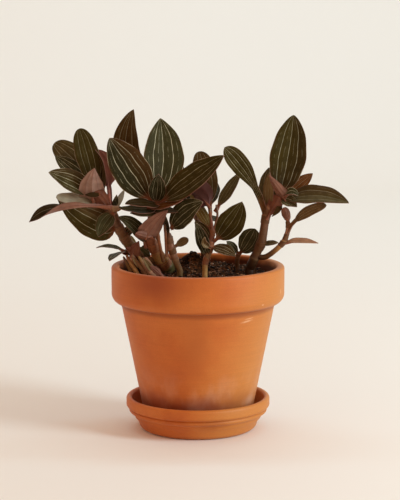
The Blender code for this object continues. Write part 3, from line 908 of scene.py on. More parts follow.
@dataclass(frozen=True)
class Litter:
    """Loose bits of a potting mix: peat, bark or perlite.

    Each bit has its own shade and is crumbly, matte and almost without gloss. bit is the size
    over which the shade stays the same, in millimetres.
    """

    name: str
    dark: str
    middle: str
    light: str
    bit: float
    roughness: float = 0.7
    grain: float = 1.2

    SHADE = (0.5, 1.5)
    RELIEF = 0.5

    def make(self) -> bpy.types.Material:
        """Builds the material on Object coordinates.

        Returns:
            The material.
        """
        made, tree = new_material(self.name)
        place = add(tree, "ShaderNodeTexCoord")["Object"]
        cells = add(tree, "ShaderNodeTexVoronoi", {"Vector": place,
                    "Scale": per_metre(self.bit)})["Color"]
        chance = add(tree, "ShaderNodeSeparateXYZ", {0: cells})["X"]
        colour = add(tree, "ShaderNodeValToRGB", {0: chance}, stops=(
            (0.1, self.dark), (0.6, self.middle), (0.97, self.light)))[0]
        grain = add(tree, "ShaderNodeTexNoise", {"Vector": place, "Detail": 6.0,
                    "Scale": per_metre(self.grain)})["Fac"]
        deep, pale = self.SHADE
        shade = add(tree, "ShaderNodeMapRange", {0: grain, 1: 0.3, 2: 0.7, 3: deep, 4: pale})[0]
        colour = add(tree, "ShaderNodeVectorMath", {0: colour, 3: shade}, operation="SCALE")[0]
        bump = add(tree, "ShaderNodeBump", {"Height": grain, "Strength": 0.8,
                   "Distance": self.RELIEF * MM})[0]
        surface = add(tree, "ShaderNodeBsdfPrincipled", {
            "Base Color": colour, "Roughness": self.roughness, "Specular IOR Level": 0.06,
            "Normal": bump})[0]
        add(tree, "ShaderNodeOutputMaterial", {"Surface": surface})
        return made


@dataclass
class ClaySaucer:
    """The saucer: a flat foot, a flared body, two grooves with a ridge between, a rolled rim."""

    foot_r: float = 46.0
    body_r: float = 56.0
    ridge_r: float = 60.4
    band_r: float = 62.7
    top: float = 28.6
    wall: float = 5.0
    floor: float = 8.0
    sides: int = 160
    stain: Mark = Mark((12.0, -58.0, 15.0), 24.0, 9.0, "#9C4812", 0.5)

    def profile(self) -> list[Pair]:
        """The turned outline from the middle of the underside to the middle of the dish.

        Returns:
            Points as radius and height.
        """
        rim = self.wall / 2
        rim_r = self.band_r - rim
        inside = rim_r - rim
        foot = [(0.0, 0.0), (self.foot_r - 4.0, 0.0), (self.foot_r, 0.0)]
        foot += arc(self.foot_r, 6.0, 6.0, -70, -20, 5)
        low_groove = [(self.body_r - 3.2, 7.4), (self.body_r - 1.2, 9.6),
                      (self.body_r - 0.2, 11.4), (self.body_r + 0.1, 12.6),
                      (self.body_r + 0.7, 13.5)]
        ridge = arc(self.ridge_r - 1.9, 16.6, 1.9, -70, 60, 6)
        high_groove = [(self.ridge_r - 0.6, 18.6), (self.ridge_r + 0.4, 19.1)]
        band = arc(self.band_r - 2.2, 21.4, 2.2, -60, 0, 4)
        lip = arc(rim_r, self.top - rim, rim, 0, 180, 12)
        dish = [(inside - 0.6, 20.0), (inside - 2.2, self.floor + 4.0),
                (inside - 3.6, self.floor + 1.6), (inside - 6.0, self.floor), (0.0, self.floor)]
        return foot + low_groove + ridge + high_groove + band + lip + dish

    def build(self) -> bpy.types.Object:
        """Makes the dish and its finish.

        Returns:
            The piece.
        """
        clay = FiredClay("terracotta_saucer_clay", patch_size=34.0, marks_and_painted_light=(self.stain,))
        piece = finish_piece("saucer_clay", turned(self.profile(), self.sides, closed=False),
                             [clay.make()])
        dress(piece, "terracotta_saucer", "saucer")
        return piece


@dataclass
class ClayPot:
    """The pot: a tapered body and a thick collar with a rounded lower edge.

    On it are a painted shadow on the left of the collar, painted shade down the middle of the
    body, salts by the foot, two pale scratches, and two painted highlights on the collar's right.
    """

    rim_r: float = 75.0
    top: float = 143.5
    lip_wall: float = 7.0
    lip_round: float = 2.4
    collar_round: float = 8.4
    collar_bottom: float = 111.2
    body_top_r: float = 67.25
    taper: float = 0.204
    foot: float = 8.3
    wall: float = 6.0
    floor: float = 7.0
    drain_r: float = 8.0
    damp_top: float = 36.0
    sides: int = 192
    marks_and_painted_light: tuple[Mark, ...] = (
        # Painted shadow of the plant on the left of the collar.
        Mark((-34.0, -64.0, 137.0), 48.0, 27.0, "#8E3810", 0.75),
        # Painted shade down the middle of the body, where less of the light reaches.
        Mark((-1.0, -62.0, 85.0), 22.0, 55.0, "#A5541A", 0.5),
        Mark((43.0, -24.0, 29.5), 14.0, 7.0, "#DCB294", 0.3),
        Mark((41.0, -50.5, 103.0), 9.0, 1.2, "#F2C496", 0.5, rise=8.0),
        Mark((43.5, -50.0, 105.3), 7.0, 0.9, "#F2C496", 0.4, rise=6.0),
        # Painted highlight: a glint on the collar's lower edge.
        Mark((54.6, -51.0, 117.1), 1.8, 0.8, "#FFE0BC", 0.5),
        # Painted highlight: a bright dash on the collar's right edge.
        Mark((71.0, -25.0, 124.0), 1.6, 3.4, "#F2C496", 0.6, rise=10.0))

    def body_radius(self, height: float) -> float:
        """Outer radius of the tapered body."""
        return self.body_top_r - self.taper * (self.collar_bottom - height)

    def inner_radius(self, height: float) -> float:
        """Inner radius, straight from the lip to the bottom.

        Args:
            height: the height over the saucer's underside.

        Returns:
            The radius there.
        """
        low = self.foot + self.floor
        narrow = self.body_radius(self.foot) - self.wall
        wide = self.rim_r - self.lip_wall
        return narrow + (wide - narrow) * (height - low) / (self.top - low)

    def profile(self) -> list[Pair]:
        """The turned outline, round the whole wall from the drainage hole.

        Returns:
            Points as radius and height.
        """
        low = self.foot + self.floor
        inside = self.rim_r - self.lip_wall
        collar_z = self.collar_bottom + self.collar_round
        lip_z = self.top - self.lip_round
        neck = (self.body_top_r - 0.7, self.collar_bottom - 1.4)
        base = [(self.drain_r, self.foot), (self.body_radius(self.foot) - 1.2, self.foot)]
        body = straight((self.body_radius(self.foot + 1.0), self.foot + 1.0), neck, 6.0)
        crease = [neck, (self.body_top_r - 0.4, self.collar_bottom - 0.1)]
        collar = arc(self.rim_r - self.collar_round, collar_z, self.collar_round, -78, 0, 10)
        collar += straight((self.rim_r, collar_z + 5.0), (self.rim_r, lip_z), 6.0)
        lip = arc(self.rim_r - self.lip_round, lip_z, self.lip_round, 0, 90, 7)
        lip += arc(inside + self.lip_round, lip_z, self.lip_round, 90, 180, 7)
        wall = straight((self.inner_radius(self.top - 6.0), self.top - 6.0),
                        (self.inner_radius(low + 3.0), low + 3.0), 12.0)
        floor = [(self.inner_radius(low + 3.0), low + 3.0), (self.inner_radius(low) - 3.0, low),
                 (self.drain_r, low)]
        return base + body + crease + collar + lip + wall + floor

    def build(self) -> bpy.types.Object:
        """Makes the pot and its finish.

        Returns:
            The piece.
        """
        soaked_and_shaded = SoakedShadedWall(radius=self.rim_r - self.lip_wall + 0.3,
                            low=self.collar_bottom + 4.0, high=self.top - 0.5)
        clay = FiredClay("terracotta_pot_clay", soaked_and_shaded=soaked_and_shaded, marks_and_painted_light=self.marks_and_painted_light,
                         wear_and_painted_shade=(DampFoot(self.damp_top), CreaseShade(self.collar_bottom)))
        piece = finish_piece("pot_clay", turned(self.profile(), self.sides, closed=True),
                             [clay.make()])
        dress(piece, "terracotta_pot", "pot")
        return piece


@dataclass
class BarkSoil:
    """The potting mix: a lumpy bed of peat with chips of bark and a few grains of perlite."""

    pot: ClayPot
    level: float = 133.0
    edge_drop: float = 1.5
    gap: float = 0.6
    heap: Pair = (-6.0, 38.0)
    heap_high: float = 12.5
    heap_wide: float = 13.0
    rear_rise: float = 3.0
    lump_high: float = 1.3
    crumb_high: float = 0.9
    chips: int = 1500
    chip_small: Point = (1.2, 0.8, 0.5)
    chip_large: Point = (5.2, 2.8, 1.6)
    chip_lift: float = 0.3
    grains: int = 110
    grain_small: Point = (0.5, 0.5, 0.4)
    grain_large: Point = (1.1, 1.0, 0.8)
    grain_lift: float = 0.9
    sides: int = 128
    seed: int = 11

    WALL_GAP = 2.5
    TILTS = (0.35, 0.3)
    UNEVEN = (0.72, 1.2)

    def height(self, x: float, y: float) -> float:
        """Height of the soil, with lumps 20 to 40 mm across.

        Args:
            x: the place to the right of the middle.
            y: the place behind the middle.

        Returns:
            The height there.
        """
        heap = math.hypot(x - self.heap[0], y - self.heap[1]) / self.heap_wide
        lumps = math.sin(0.21 * x + 1.3) * math.cos(0.17 * y) + 0.6 * math.sin(0.33 * y - 0.15 * x)
        rear = self.rear_rise * ease(0.0, 50.0, y)
        return (self.level + rear + self.heap_high * math.exp(-heap * heap)
                + self.lump_high * lumps)

    def bed(self) -> BMesh:
        """The closed body of the soil, whose top has crumbs 1 to 2 mm across.

        Returns:
            The bed as one bmesh.
        """
        bottom = self.pot.foot + self.pot.floor + self.gap
        side = self.level - self.edge_drop
        edge = self.pot.inner_radius(side) - self.gap
        outline = [(0.0, bottom), (self.pot.inner_radius(bottom) - 3.0 - self.gap, bottom),
                   (self.pot.inner_radius(bottom + 4.0) - self.gap, bottom + 4.0), (edge, side)]
        outline += straight((edge - 1.6, self.level), (0.0, self.level), 1.6)
        outline.append((0.0, self.level))
        shape = turned(outline, self.sides, closed=False)
        for corner in shape.verts:
            if corner.co.z > side + 0.1:
                x, y = corner.co.x, corner.co.y
                crumbs = noise.noise(Vector((x, y, 0.0)) * 0.45) + 0.5 * noise.noise(
                    Vector((x, y, 9.0)) * 1.1)
                corner.co.z = self.height(x, y) + self.crumb_high * crumbs
        return shape

    def scatter(self, count: int, small: Point, large: Point, seed: int, roots: Sequence[Point],
                lift: float) -> BMesh:
        """Strews bits over the soil, clear of the pot's wall.

        Args:
            count: how many bits.
            small: the smallest length, width and thickness.
            large: the largest.
            seed: starts the draw.
            roots: where stems stand, which stay free.
            lift: how far a bit's middle lies over the soil, as a share of its thickness.

        Returns:
            All the bits in one bmesh.
        """
        draw = random.Random(seed)
        shape = bmesh.new()
        reach = self.pot.inner_radius(self.level) - self.WALL_GAP
        made = 0
        while made < count:
            away, turn = reach * math.sqrt(draw.random()), draw.uniform(0.0, 2 * math.pi)
            x, y = away * math.cos(turn), away * math.sin(turn)
            size = [draw.uniform(low, high) for low, high in zip(small, large)]
            if any(math.hypot(x - root[0], y - root[1]) < root[2] for root in roots):
                continue
            pose = Matrix.Translation((x, y, self.height(x, y) + lift * size[2]))
            pose @= Matrix.Rotation(draw.uniform(0, 2 * math.pi), 4, "Z")
            pose @= Matrix.Rotation(draw.gauss(0.0, self.TILTS[0]), 4, "X")
            pose @= Matrix.Rotation(draw.gauss(0.0, self.TILTS[1]), 4, "Y")
            pose @= Matrix.Diagonal((size[0] / 2, size[1] / 2, size[2] / 2, 1.0))
            corners = bmesh.ops.create_icosphere(shape, subdivisions=1, radius=1.0)["verts"]
            for corner in corners:
                corner.co *= draw.uniform(*self.UNEVEN)
            bmesh.ops.transform(shape, matrix=pose, verts=corners)
            made += 1
        return shape

    def build(self, roots: Sequence[Point]) -> list[bpy.types.Object]:
        """Makes the bed, the chips and the grains.

        Args:
            roots: x, y and radius of each stem at the soil.

        Returns:
            The three pieces.
        """
        peat = Litter("peat_moist", "#140902", "#3A200C", "#5C3216", bit=2.2, roughness=0.8)
        bark = Litter("pine_bark_chipped", "#160A04", "#46281A", "#8C6244", bit=4.0,
                      roughness=0.5)
        perlite = Litter("perlite_dusty", "#A89C8C", "#C8BEB0", "#EAE2D6", bit=1.5)
        chips = self.scatter(self.chips, self.chip_small, self.chip_large, self.seed, roots,
                             self.chip_lift)
        grains = self.scatter(self.grains, self.grain_small, self.grain_large, self.seed + 1,
                              roots, self.grain_lift)
        pieces = [finish_piece("soil_bed", self.bed(), [peat.make()]),
                  finish_piece("soil_bark_chips", chips, [bark.make()], sharp=15.0),
                  finish_piece("soil_perlite", grains, [perlite.make()], sharp=30.0)]
        for piece in pieces:
            dress(piece, "soil", "soil")
        return pieces


class Form(Enum):
    """Outlines of a leaf: how it widens from the stalk and how it narrows to the tip."""

    POINTED = (0.65, 0.85)
    LATE = (2.6, 1.15)
    BROAD = (0.6, 0.72)
    BLUNT = (0.6, 0.5)
    FULL_BASE = (0.4, 0.85)
    HOODED = (0.3, 0.9)
    FLARED = (0.18, 0.9)
    CLUBBED = (1.4, 0.55)
    SLIM = (0.8, 0.9)


class Upper(Enum):
    """Colours of a leaf's upper side."""

    DARK = "#2A2410"
    OLIVE = "#3A2E0F"
    # Partly the leaf's grey-green and partly painted sheen, where light grazes the velvet.
    GREY_SHEEN = "#3A341C"
    BRONZE = "#402A0E"
    RUST = "#5E3414"
    # Partly painted light: the yellow glow of light shining through a thin leaf.
    GOLDEN = "#7C6432"
    FERN = "#48432A"
    UMBER = "#30200A"
    MOSS = "#4E4022"
    TAN = "#745A38"
    HUSK = "#7C5C36"
    PALE = "#9A8A70"


class Under(Enum):
    """Colours of a leaf's under side."""

    MAUVE = "#8A5E4C"
    GREYISH = "#8E6A58"
    WINE = "#7A4636"
    PURPLE = "#5C3A34"
    CLAY = "#805440"
    # Partly painted light: the pink glow of light shining through a thin leaf.
    PINK = "#A88062"
    BRICK = "#6E3C24"
    HUSK = "#8C6642"
    PALE = "#A89880"


class Skin(Enum):
    """Colours of stems, stalks and sheaths."""

    RED = "#824A30"
    # Partly painted light: the glow of a stalk that light shines through.
    SALMON = "#C07058"
    BROWN = "#664022"
    # Dark skin and dark node lines; at the foot of a stem it is partly painted shade near the soil.
    DARK = "#3A200C"
    TAN = "#86602F"
    GOLD = "#B07E46"
    BRICK = "#8C5230"
    ROSE = "#A47256"
    OLIVE = "#84603A"
    MOSS = "#4A3E18"
    HUSK = "#7C5436"
    SCAR = "#B08A5C"


@dataclass(frozen=True)
class Leaf:
    """One leaf: where its stalk leaves the stem, its tip, its width, and how it is held.

    Points and sizes are in millimetres. face is the way its upper side looks, bow how far its
    middle bows from the straight line, fold and twist are in degrees, and stalk is the share of
    its length that has no blade. veins is how much the veins show, flush_and_lit_side how far a
    second tone spreads, from the right if it is positive: a bronze tinge on most leaves and a
    painted highlight on the lit half of one. painted_base_shade is how much painted shade darkens
    the blade near its stalk.
    """

    base: Point
    tip: Point
    width: float
    face: Point
    bow: Point = (0.0, 0.0, 0.0)
    fold: float = 8.0
    twist: float = 0.0
    stalk: float = 0.12
    form: Form = Form.POINTED
    upper: Upper = Upper.DARK
    under: Under = Under.MAUVE
    stem: Skin = Skin.RED
    veins: float = 0.75
    flush_and_lit_side: float = 0.0
    flush_and_lit_tone: Upper = Upper.BRONZE
    painted_base_shade: float = 0.25
    stalk_half: float = 1.7

    TIP_HALF = 0.5
    TIP_CLOSENESS = 1.4
    THICKNESS = 0.7
    THIN_EDGE = 0.45
    GROWN = 14.5
    GRID_GROWN = (22, 40)
    GRID_SMALL = (14, 24)
    CHANNEL = 30.0
    CREASE_ROUND = 0.15
    VEIN_GAP = 0.5
    QUILT_HIGH = 0.45
    QUILT_FULL = 9.0
    WAVES = 15.0
    WAVE_HIGH = 0.035
    RIPPLES = 22.0
    RIPPLE_WIDE = 0.018
    RIB_GRID = (10, 22)
    RIB_END = 0.86
    RIB_ROUND = 0.06

    def half_width(self, along: float) -> float:
        """Half the width of the stalk and the blade.

        Args:
            along: from 0 at the stem to 1 at the tip.

        Returns:
            The half width in millimetres.
        """
        rise, fall = self.form.value
        peak = rise / (rise + fall)
        highest = peak ** rise * (1 - peak) ** fall
        blade = min(max((along - self.stalk) / (1 - self.stalk), 0.0), 1.0)
        outline = blade ** rise * (1 - blade) ** fall / highest
        ends = self.stalk_half + (self.TIP_HALF - self.stalk_half) * ease(0.3, 0.9, along)
        return max(self.width / 2 * outline, min(ends, self.width / 3) * self.end_close(along))

    @staticmethod
    def end_close(along: float) -> float:
        """Draws the very tip together to a point."""
        return 1.0 - ease(0.985, 1.0, along) * 0.9

    def frame(self, along: float) -> tuple[Vector, Vector, Vector, Vector]:
        """The middle of the leaf and its directions.

        Args:
            along: from 0 at the stem to 1 at the tip.

        Returns:
            The middle, and the directions along, upward and sideways.
        """
        base, tip, bow = Vector(self.base), Vector(self.tip), Vector(self.bow)
        chord = tip - base
        middle = base + chord * along + bow * (4 * along * (1 - along))
        direction = (chord + bow * (4 - 8 * along)).normalized()
        upper = Vector(self.face)
        upper = (upper - direction * upper.dot(direction)).normalized()
        upper = Matrix.Rotation(math.radians(self.twist) * (along - 0.5), 3, direction) @ upper
        return middle, direction, upper, direction.cross(upper)

    def point(self, across: float, along: float, phase: float) -> Vector:
        """A point of the middle surface.

        Args:
            across: from -1 to 1 between the margins.
            along: from 0 at the stem to 1 at the tip.
            phase: shifts the waves of the margin.

        Returns:
            The point, with the blade quilted between its veins and its margin waved.
        """
        middle, _, upper, side = self.frame(along)
        width = self.half_width(along)
        channel = self.CHANNEL * (1.0 - ease(0.0, self.stalk + 0.16, along))
        tilt = math.radians(self.fold + channel)
        crease = self.CREASE_ROUND
        rounded = (math.hypot(across, crease) - crease) / (math.hypot(1.0, crease) - crease)
        quilt = self.QUILT_HIGH * math.sin(math.pi * across / self.VEIN_GAP) ** 2
        lift = width * rounded * math.sin(tilt)
        lift += quilt * min(1.0, width / self.QUILT_FULL) * (1.0 - 0.5 * abs(across))
        wave = math.sin(along * self.WAVES + phase + (1.7 if across > 0 else 0.0))
        lift += self.WAVE_HIGH * width * wave * across * across * ease(0.15, 0.4, along)
        ripple = 1.0 + self.RIPPLE_WIDE * math.sin(along * self.RIPPLES + 2.0 * phase)
        return middle + side * width * across * math.cos(tilt) * ripple + upper * lift

    def upper_tone(self, across: float, along: float) -> tuple[float, ...]:
        """The colour of the upper side, with its second tone and the painted shade near its stalk.

        Args:
            across: from -1 to 1 between the margins.
            along: from 0 at the stem to 1 at the tip.

        Returns:
            The colour in linear light.
        """
        # The second tone: a bronze tinge on most leaves, and a painted highlight on the lit half of
        # one.
        spread = ease(-0.3, 0.8, math.copysign(1.0, self.flush_and_lit_side) * across)
        mixed = blend(linear(self.upper.value), linear(self.flush_and_lit_tone.value),
                      abs(self.flush_and_lit_side) * spread)
        # Painted shade: the blade darkens towards its stalk, where shade falls near the stem.
        dark = self.painted_base_shade * (1 - ease(self.stalk, self.stalk + 0.45, along))
        return blend(mixed, linear(Upper.UMBER.value), dark)

    def blade(self, phase: float) -> BMesh:
        """The blade as a thin closed shell with its colours and maps.

        Args:
            phase: shifts the waves of the margin.

        Returns:
            A bmesh with the upper side in slot 0 and the under side in slot 1.
        """
        sheet = Sheet(*(self.GRID_GROWN if self.width > self.GROWN else self.GRID_SMALL))
        length = (Vector(self.tip) - Vector(self.base)).length

        def across(u: float) -> float:
            """The place between the margins."""
            return 2 * u - 1

        def along(v: float) -> float:
            """The place along the leaf, in rows that draw closer to the tip."""
            return 1 - (1 - v) ** self.TIP_CLOSENESS

        sheet.bend(lambda u, v: self.point(across(u), along(v), phase))
        sheet.map_uv("blade", lambda u, v: (u, along(v)))
        sheet.map_uv("span", lambda u, v: (
            across(u) * self.half_width(along(v)) * MM + phase, along(v) * length * MM))
        sheet.measure("half_width", lambda u, v: self.half_width(along(v)))
        sheet.measure("vein_show", lambda u, v: self.veins)
        sheet.measure("stalk_part", lambda u, v: 1 - ease(
            self.stalk * 0.7, self.stalk + 0.1, along(v)))
        sheet.paint("upper_tone", lambda u, v: self.upper_tone(across(u), along(v)))
        sheet.paint("under_tone", lambda u, v: linear(self.under.value))
        sheet.paint("stalk_tone", lambda u, v: linear(self.stem.value))
        sheet.weigh(lambda u, v: 1 - across(u) ** 4 * 0.8)
        return thicken(sheet.shape, self.THICKNESS, self.THIN_EDGE)

    def rib_half(self) -> float:
        """Half the thickness of the stalk where it starts."""
        return min(self.stalk_half, self.width / 7.5)

    def rib_point(self, u: float, v: float) -> Vector:
        """A point of the rod that is the stalk and the midrib.

        Args:
            u: from 0 to 1 round the rod.
            v: from 0 at the stem to 1 at the rod's rounded end.

        Returns:
            The point, just under the blade.
        """
        along = self.RIB_END * v
        middle, _, upper, side = self.frame(along)
        radius = self.rib_half() * (1 - 0.72 * ease(0.0, self.stalk + 0.2, along))
        radius *= 1 - 0.75 * v
        end = (v - 1 + self.RIB_ROUND) / self.RIB_ROUND
        radius *= math.sqrt(max(0.0, 1 - end ** 2)) if end > 0 else 1.0
        turn = 2 * math.pi * u
        lowered = middle - upper * (radius * 0.75)
        return lowered + (side * math.cos(turn) + upper * math.sin(turn)) * radius

    def rib(self) -> BMesh:
        """The stalk and the midrib under the blade, as one tapering rod.

        Returns:
            The closed rod with its colours.
        """
        sheet = Sheet(*self.RIB_GRID)
        sheet.bend(self.rib_point)
        sheet.map_uv("run", lambda u, v: (u * self.rib_half() * 6 * MM, v * 0.05))
        sheet.paint("skin", lambda u, v: blend(
            linear(self.stem.value), linear(self.under.value), ease(0.15, 0.5, v)))
        return sheet.close()


@dataclass(frozen=True)
class Ring:
    """A cross-section of a stem, with the length of stem below it."""

    centre: Vector
    across: Vector
    along: Vector
    radius: float
    run: float

    def rim(self, turn: float, radius: float) -> Vector:
        """A point round the stem at an angle in radians and a distance from its middle."""
        beside = self.along.cross(self.across)
        return self.centre + (self.across * math.cos(turn) + beside * math.sin(turn)) * radius


@dataclass(frozen=True)
class Stem:
    """A stem or side branch: its points, its radius at each, and its colours from foot to top."""

    points: Sequence[Point]
    radii: Sequence[float]
    skins: Sequence[Skin]
    nodes: Sequence[float] = ()

    STEP = 1.1
    SIDES = 20
    SAMPLES = 400
    ROUND_UV = 0.016
    TOP_ROUND = 3.0
    LUMPS = 0.03
    NODE_HIGH = 0.1
    NODE_MOST = 0.2
    NODE_WIDE = 1.3
    SCAR_WIDE = 0.9
    SCAR_COVER = 0.22
    LINE_RISE = 1.9
    LINE_WIDE = 0.6
    LINE_COVER = 0.35

    def curve_point(self, place: float) -> Vector:
        """A point of the smooth curve through the stem's points.

        Args:
            place: runs over the numbers of the points, from 0.

        Returns:
            The point.
        """
        points = [Vector(point) for point in self.points]
        last = len(points) - 1
        index = min(int(place), last - 1)
        part = place - index
        before, start = points[max(index - 1, 0)], points[index]
        end, after = points[index + 1], points[min(index + 2, last)]
        return 0.5 * (2 * start + (end - before) * part
                      + (2 * before - 5 * start + 4 * end - after) * part ** 2
                      + (3 * start - before - 3 * end + after) * part ** 3)

    def rings(self) -> list[Ring]:
        """Cross-sections a step apart from the foot to the top.

        Returns:
            The cross-sections in order.
        """
        last, samples = len(self.points) - 1, self.SAMPLES
        places = [last * number / samples for number in range(samples + 1)]
        track = [self.curve_point(min(place, last - 1e-6)) for place in places]
        runs = [0.0]
        for low, high in zip(track, track[1:]):
            runs.append(runs[-1] + (high - low).length)
        count = max(8, round(runs[-1] / self.STEP))
        made, at, across = [], 0, Vector((1.0, 0.0, 0.0))
        for number in range(count + 1):
            run = runs[-1] * number / count
            while at < samples - 1 and runs[at + 1] < run:
                at += 1
            part = (run - runs[at]) / max(runs[at + 1] - runs[at], 1e-9)
            centre = track[at].lerp(track[at + 1], part)
            along = (track[min(at + 6, samples)] - track[max(at - 5, 0)]).normalized()
            across = (across - along * across.dot(along)).normalized()
            place = places[at] + (places[at + 1] - places[at]) * part
            index = min(int(place), last - 1)
            radius = self.radii[index] + (self.radii[index + 1] - self.radii[index]) * (
                place - index)
            made.append(Ring(centre, across.copy(), along, radius, run))
        return made

    def tint(self, part: float, run: float, nodes: Sequence[float]) -> tuple[float, ...]:
        """The colour at a place, with a pale scar and a dark line at each node.

        Args:
            part: the place from 0 at the foot to 1 at the top.
            run: the length of stem below it.
            nodes: the lengths at which a leaf or a scar sits.

        Returns:
            The colour in linear light.
        """
        last = len(self.skins) - 1
        index = min(int(part * last), last - 1)
        low, high = self.skins[index], self.skins[index + 1]
        colour = blend(linear(low.value), linear(high.value), ease(0, 1, part * last - index))
        for node in nodes:
            scar = math.exp(-((run - node) / self.SCAR_WIDE) ** 2)
            line = math.exp(-((run - node - self.LINE_RISE) / self.LINE_WIDE) ** 2)
            colour = blend(colour, linear(Skin.SCAR.value), self.SCAR_COVER * scar)
            colour = blend(colour, linear(Skin.DARK.value), self.LINE_COVER * line)
        return colour

    def skin_point(self, ring: Ring, turn: float, top: float, nodes: Sequence[float]) -> Vector:
        """A point of the skin.

        Args:
            ring: the cross-section that it lies on.
            turn: the angle round the stem in radians.
            top: the length of the whole stem.
            nodes: the lengths at which a leaf or a scar sits.

        Returns:
            The point, pushed out at a node and drawn in where the top closes.
        """
        swell = sum(self.NODE_HIGH * math.exp(-((ring.run - node) / self.NODE_WIDE) ** 2)
                    for node in nodes)
        short = 1 - (top - ring.run) / self.TOP_ROUND
        closing = math.sqrt(max(0.0, 1 - short ** 2)) if short > 0 else 1.0
        lump = self.LUMPS * noise.noise(ring.rim(turn, ring.radius) * 0.35)
        grown = 1 + min(swell, self.NODE_MOST) + lump
        return ring.rim(turn, ring.radius * grown * closing)

    def body(self, rings: list[Ring], nodes: Sequence[float]) -> BMesh:
        """The stem as one closed tube, swollen at its nodes and rounded at its top.

        Args:
            rings: its cross-sections.
            nodes: the lengths at which a leaf or a scar sits.

        Returns:
            The tube with its colours.
        """
        top, steps = rings[-1].run, len(rings) - 1
        sheet = Sheet(self.SIDES, steps)
        sheet.bend(lambda u, v: self.skin_point(rings[round(v * steps)], 2 * math.pi * u, top,
                                                nodes))
        sheet.map_uv("run", lambda u, v: (u * self.ROUND_UV, v * top * MM))
        sheet.paint("skin", lambda u, v: self.tint(v, v * top, nodes))
        return sheet.close()


@dataclass(frozen=True)
class Sheath:
    """A thin sheath that clasps a stem below a leaf, its mouth drawn up on the leaf's side.

    rings are the stem's cross-sections, run is the length of stem below the leaf, and towards is
    the way that the leaf points.
    """

    rings: Sequence[Ring]
    run: float
    towards: Vector
    length: float
    colour: Skin

    GRID = (18, 7)
    GAP = 0.22
    FLARE = 0.4
    THICKNESS = 0.28
    FOOT_BROWN = 0.3

    def point(self, u: float, v: float) -> Vector:
        """A point of the sheath's middle surface.

        Args:
            u: from 0 to 1 round the stem.
            v: from 0 at its foot to 1 at its mouth.

        Returns:
            The point.
        """
        turn, last = 2 * math.pi * u, len(self.rings) - 1
        step = self.rings[1].run - self.rings[0].run
        here = self.rings[min(round(self.run / step), last)]
        facing = here.rim(turn, 1.0) - here.centre
        drawn = 0.5 + 0.5 * facing.dot(self.towards.normalized())
        at = self.run - self.length * 0.75 + v * self.length * (0.7 + 0.5 * drawn)
        index = min(max(at / step, 0.0), last - 0.001)
        ring, above = self.rings[int(index)], self.rings[int(index) + 1]
        radius = ring.radius + self.GAP + self.FLARE * v ** 3 * (0.4 + 0.6 * drawn)
        return ring.rim(turn, radius).lerp(above.rim(turn, radius), index - int(index))

    def shell(self) -> BMesh:
        """The sheath with its thickness and colours.

        Returns:
            The thin closed shell, in material slot 1.
        """
        sheet = Sheet(*self.GRID)
        sheet.bend(self.point)
        sheet.map_uv("run", lambda u, v: (u * Stem.ROUND_UV, v * self.length * MM))
        sheet.paint("skin", lambda u, v: blend(
            linear(self.colour.value), linear(Skin.BROWN.value), self.FOOT_BROWN * (1 - v)))
        shape = sheet.close()
        for face in shape.faces:
            face.material_index = 1
        return thicken(shape, self.THICKNESS)


@dataclass(frozen=True)
class PlantFinishes:
    """The materials that all shoots share."""

    upper: bpy.types.Material
    under: bpy.types.Material
    skin: bpy.types.Material
    sheath: bpy.types.Material


@dataclass
class Shoot:
    """A leafy stem: its stems, their sheaths, and its leaves with stalks and midribs."""

    name: str
    stems: Sequence[Stem]
    leaves: Sequence[Leaf]
    sheath: Skin = Skin.HUSK

    SIT_REACH = 1.6
    TOP_GAP = 3.0
    SHEATH_GAP = 4.0
    SHEATH_LONG = 3.4
    SHEATH_PER_RADIUS = 0.9
    ROOT_GAP = 1.5
    WAVE_SHIFT = 1.7

    def root(self) -> Point:
        """Where its main stem comes out of the soil, and the radius that stays free there."""
        foot = self.stems[0]
        return foot.points[0][0], foot.points[0][1], foot.radii[0] + self.ROOT_GAP

    def leaf_runs(self, rings: list[Ring]) -> list[tuple[float, Vector]]:
        """Where leaves sit on a stem.

        Args:
            rings: the stem's cross-sections.

        Returns:
            The length below each leaf, and the way the leaf points.
        """
        found = []
        for leaf in self.leaves:
            base = Vector(leaf.base)
            nearest = min(rings, key=lambda ring: (ring.centre - base).length)
            if (nearest.centre - base).length < nearest.radius * self.SIT_REACH:
                found.append((nearest.run, Vector(leaf.tip) - base))
        return sorted(found, key=lambda pair: pair[0])

    def build_stems(self, finishes: PlantFinishes) -> bpy.types.Object:
        """Makes the stems with their nodes and sheaths.

        Args:
            finishes: the materials that all shoots share.

        Returns:
            The piece.
        """
        whole = bmesh.new()
        for stem in self.stems:
            rings = stem.rings()
            sits = self.leaf_runs(rings)
            top = rings[-1].run - self.TOP_GAP
            nodes = [run for run, _ in sits if run < top] + list(stem.nodes)
            absorb(whole, stem.body(rings, nodes))
            length = self.SHEATH_LONG + self.SHEATH_PER_RADIUS * rings[0].radius
            last = -self.SHEATH_GAP
            for run, towards in sits:
                if run - last >= self.SHEATH_GAP:
                    absorb(whole, Sheath(rings, run, towards, length, self.sheath).shell())
                    last = run
        piece = finish_piece(self.name + "_stem", whole, [finishes.skin, finishes.sheath])
        dress(piece, self.name + "_leaf", self.name)
        return piece

    def build_leaves(self, finishes: PlantFinishes) -> bpy.types.Object:
        """Makes the leaves, each with its blade, stalk and midrib.

        Args:
            finishes: the materials that all shoots share.

        Returns:
            The piece.
        """
        whole = bmesh.new()
        for number, leaf in enumerate(self.leaves):
            absorb(whole, leaf.blade(self.WAVE_SHIFT * number + len(self.name)))
            rib = leaf.rib()
            for face in rib.faces:
                face.material_index = 2
            absorb(whole, rib)
        piece = finish_piece(self.name + "_leaves", whole,
                             [finishes.upper, finishes.under, finishes.skin], sharp=50.0)
        dress(piece, self.name + "_leaf", self.name)
        return piece


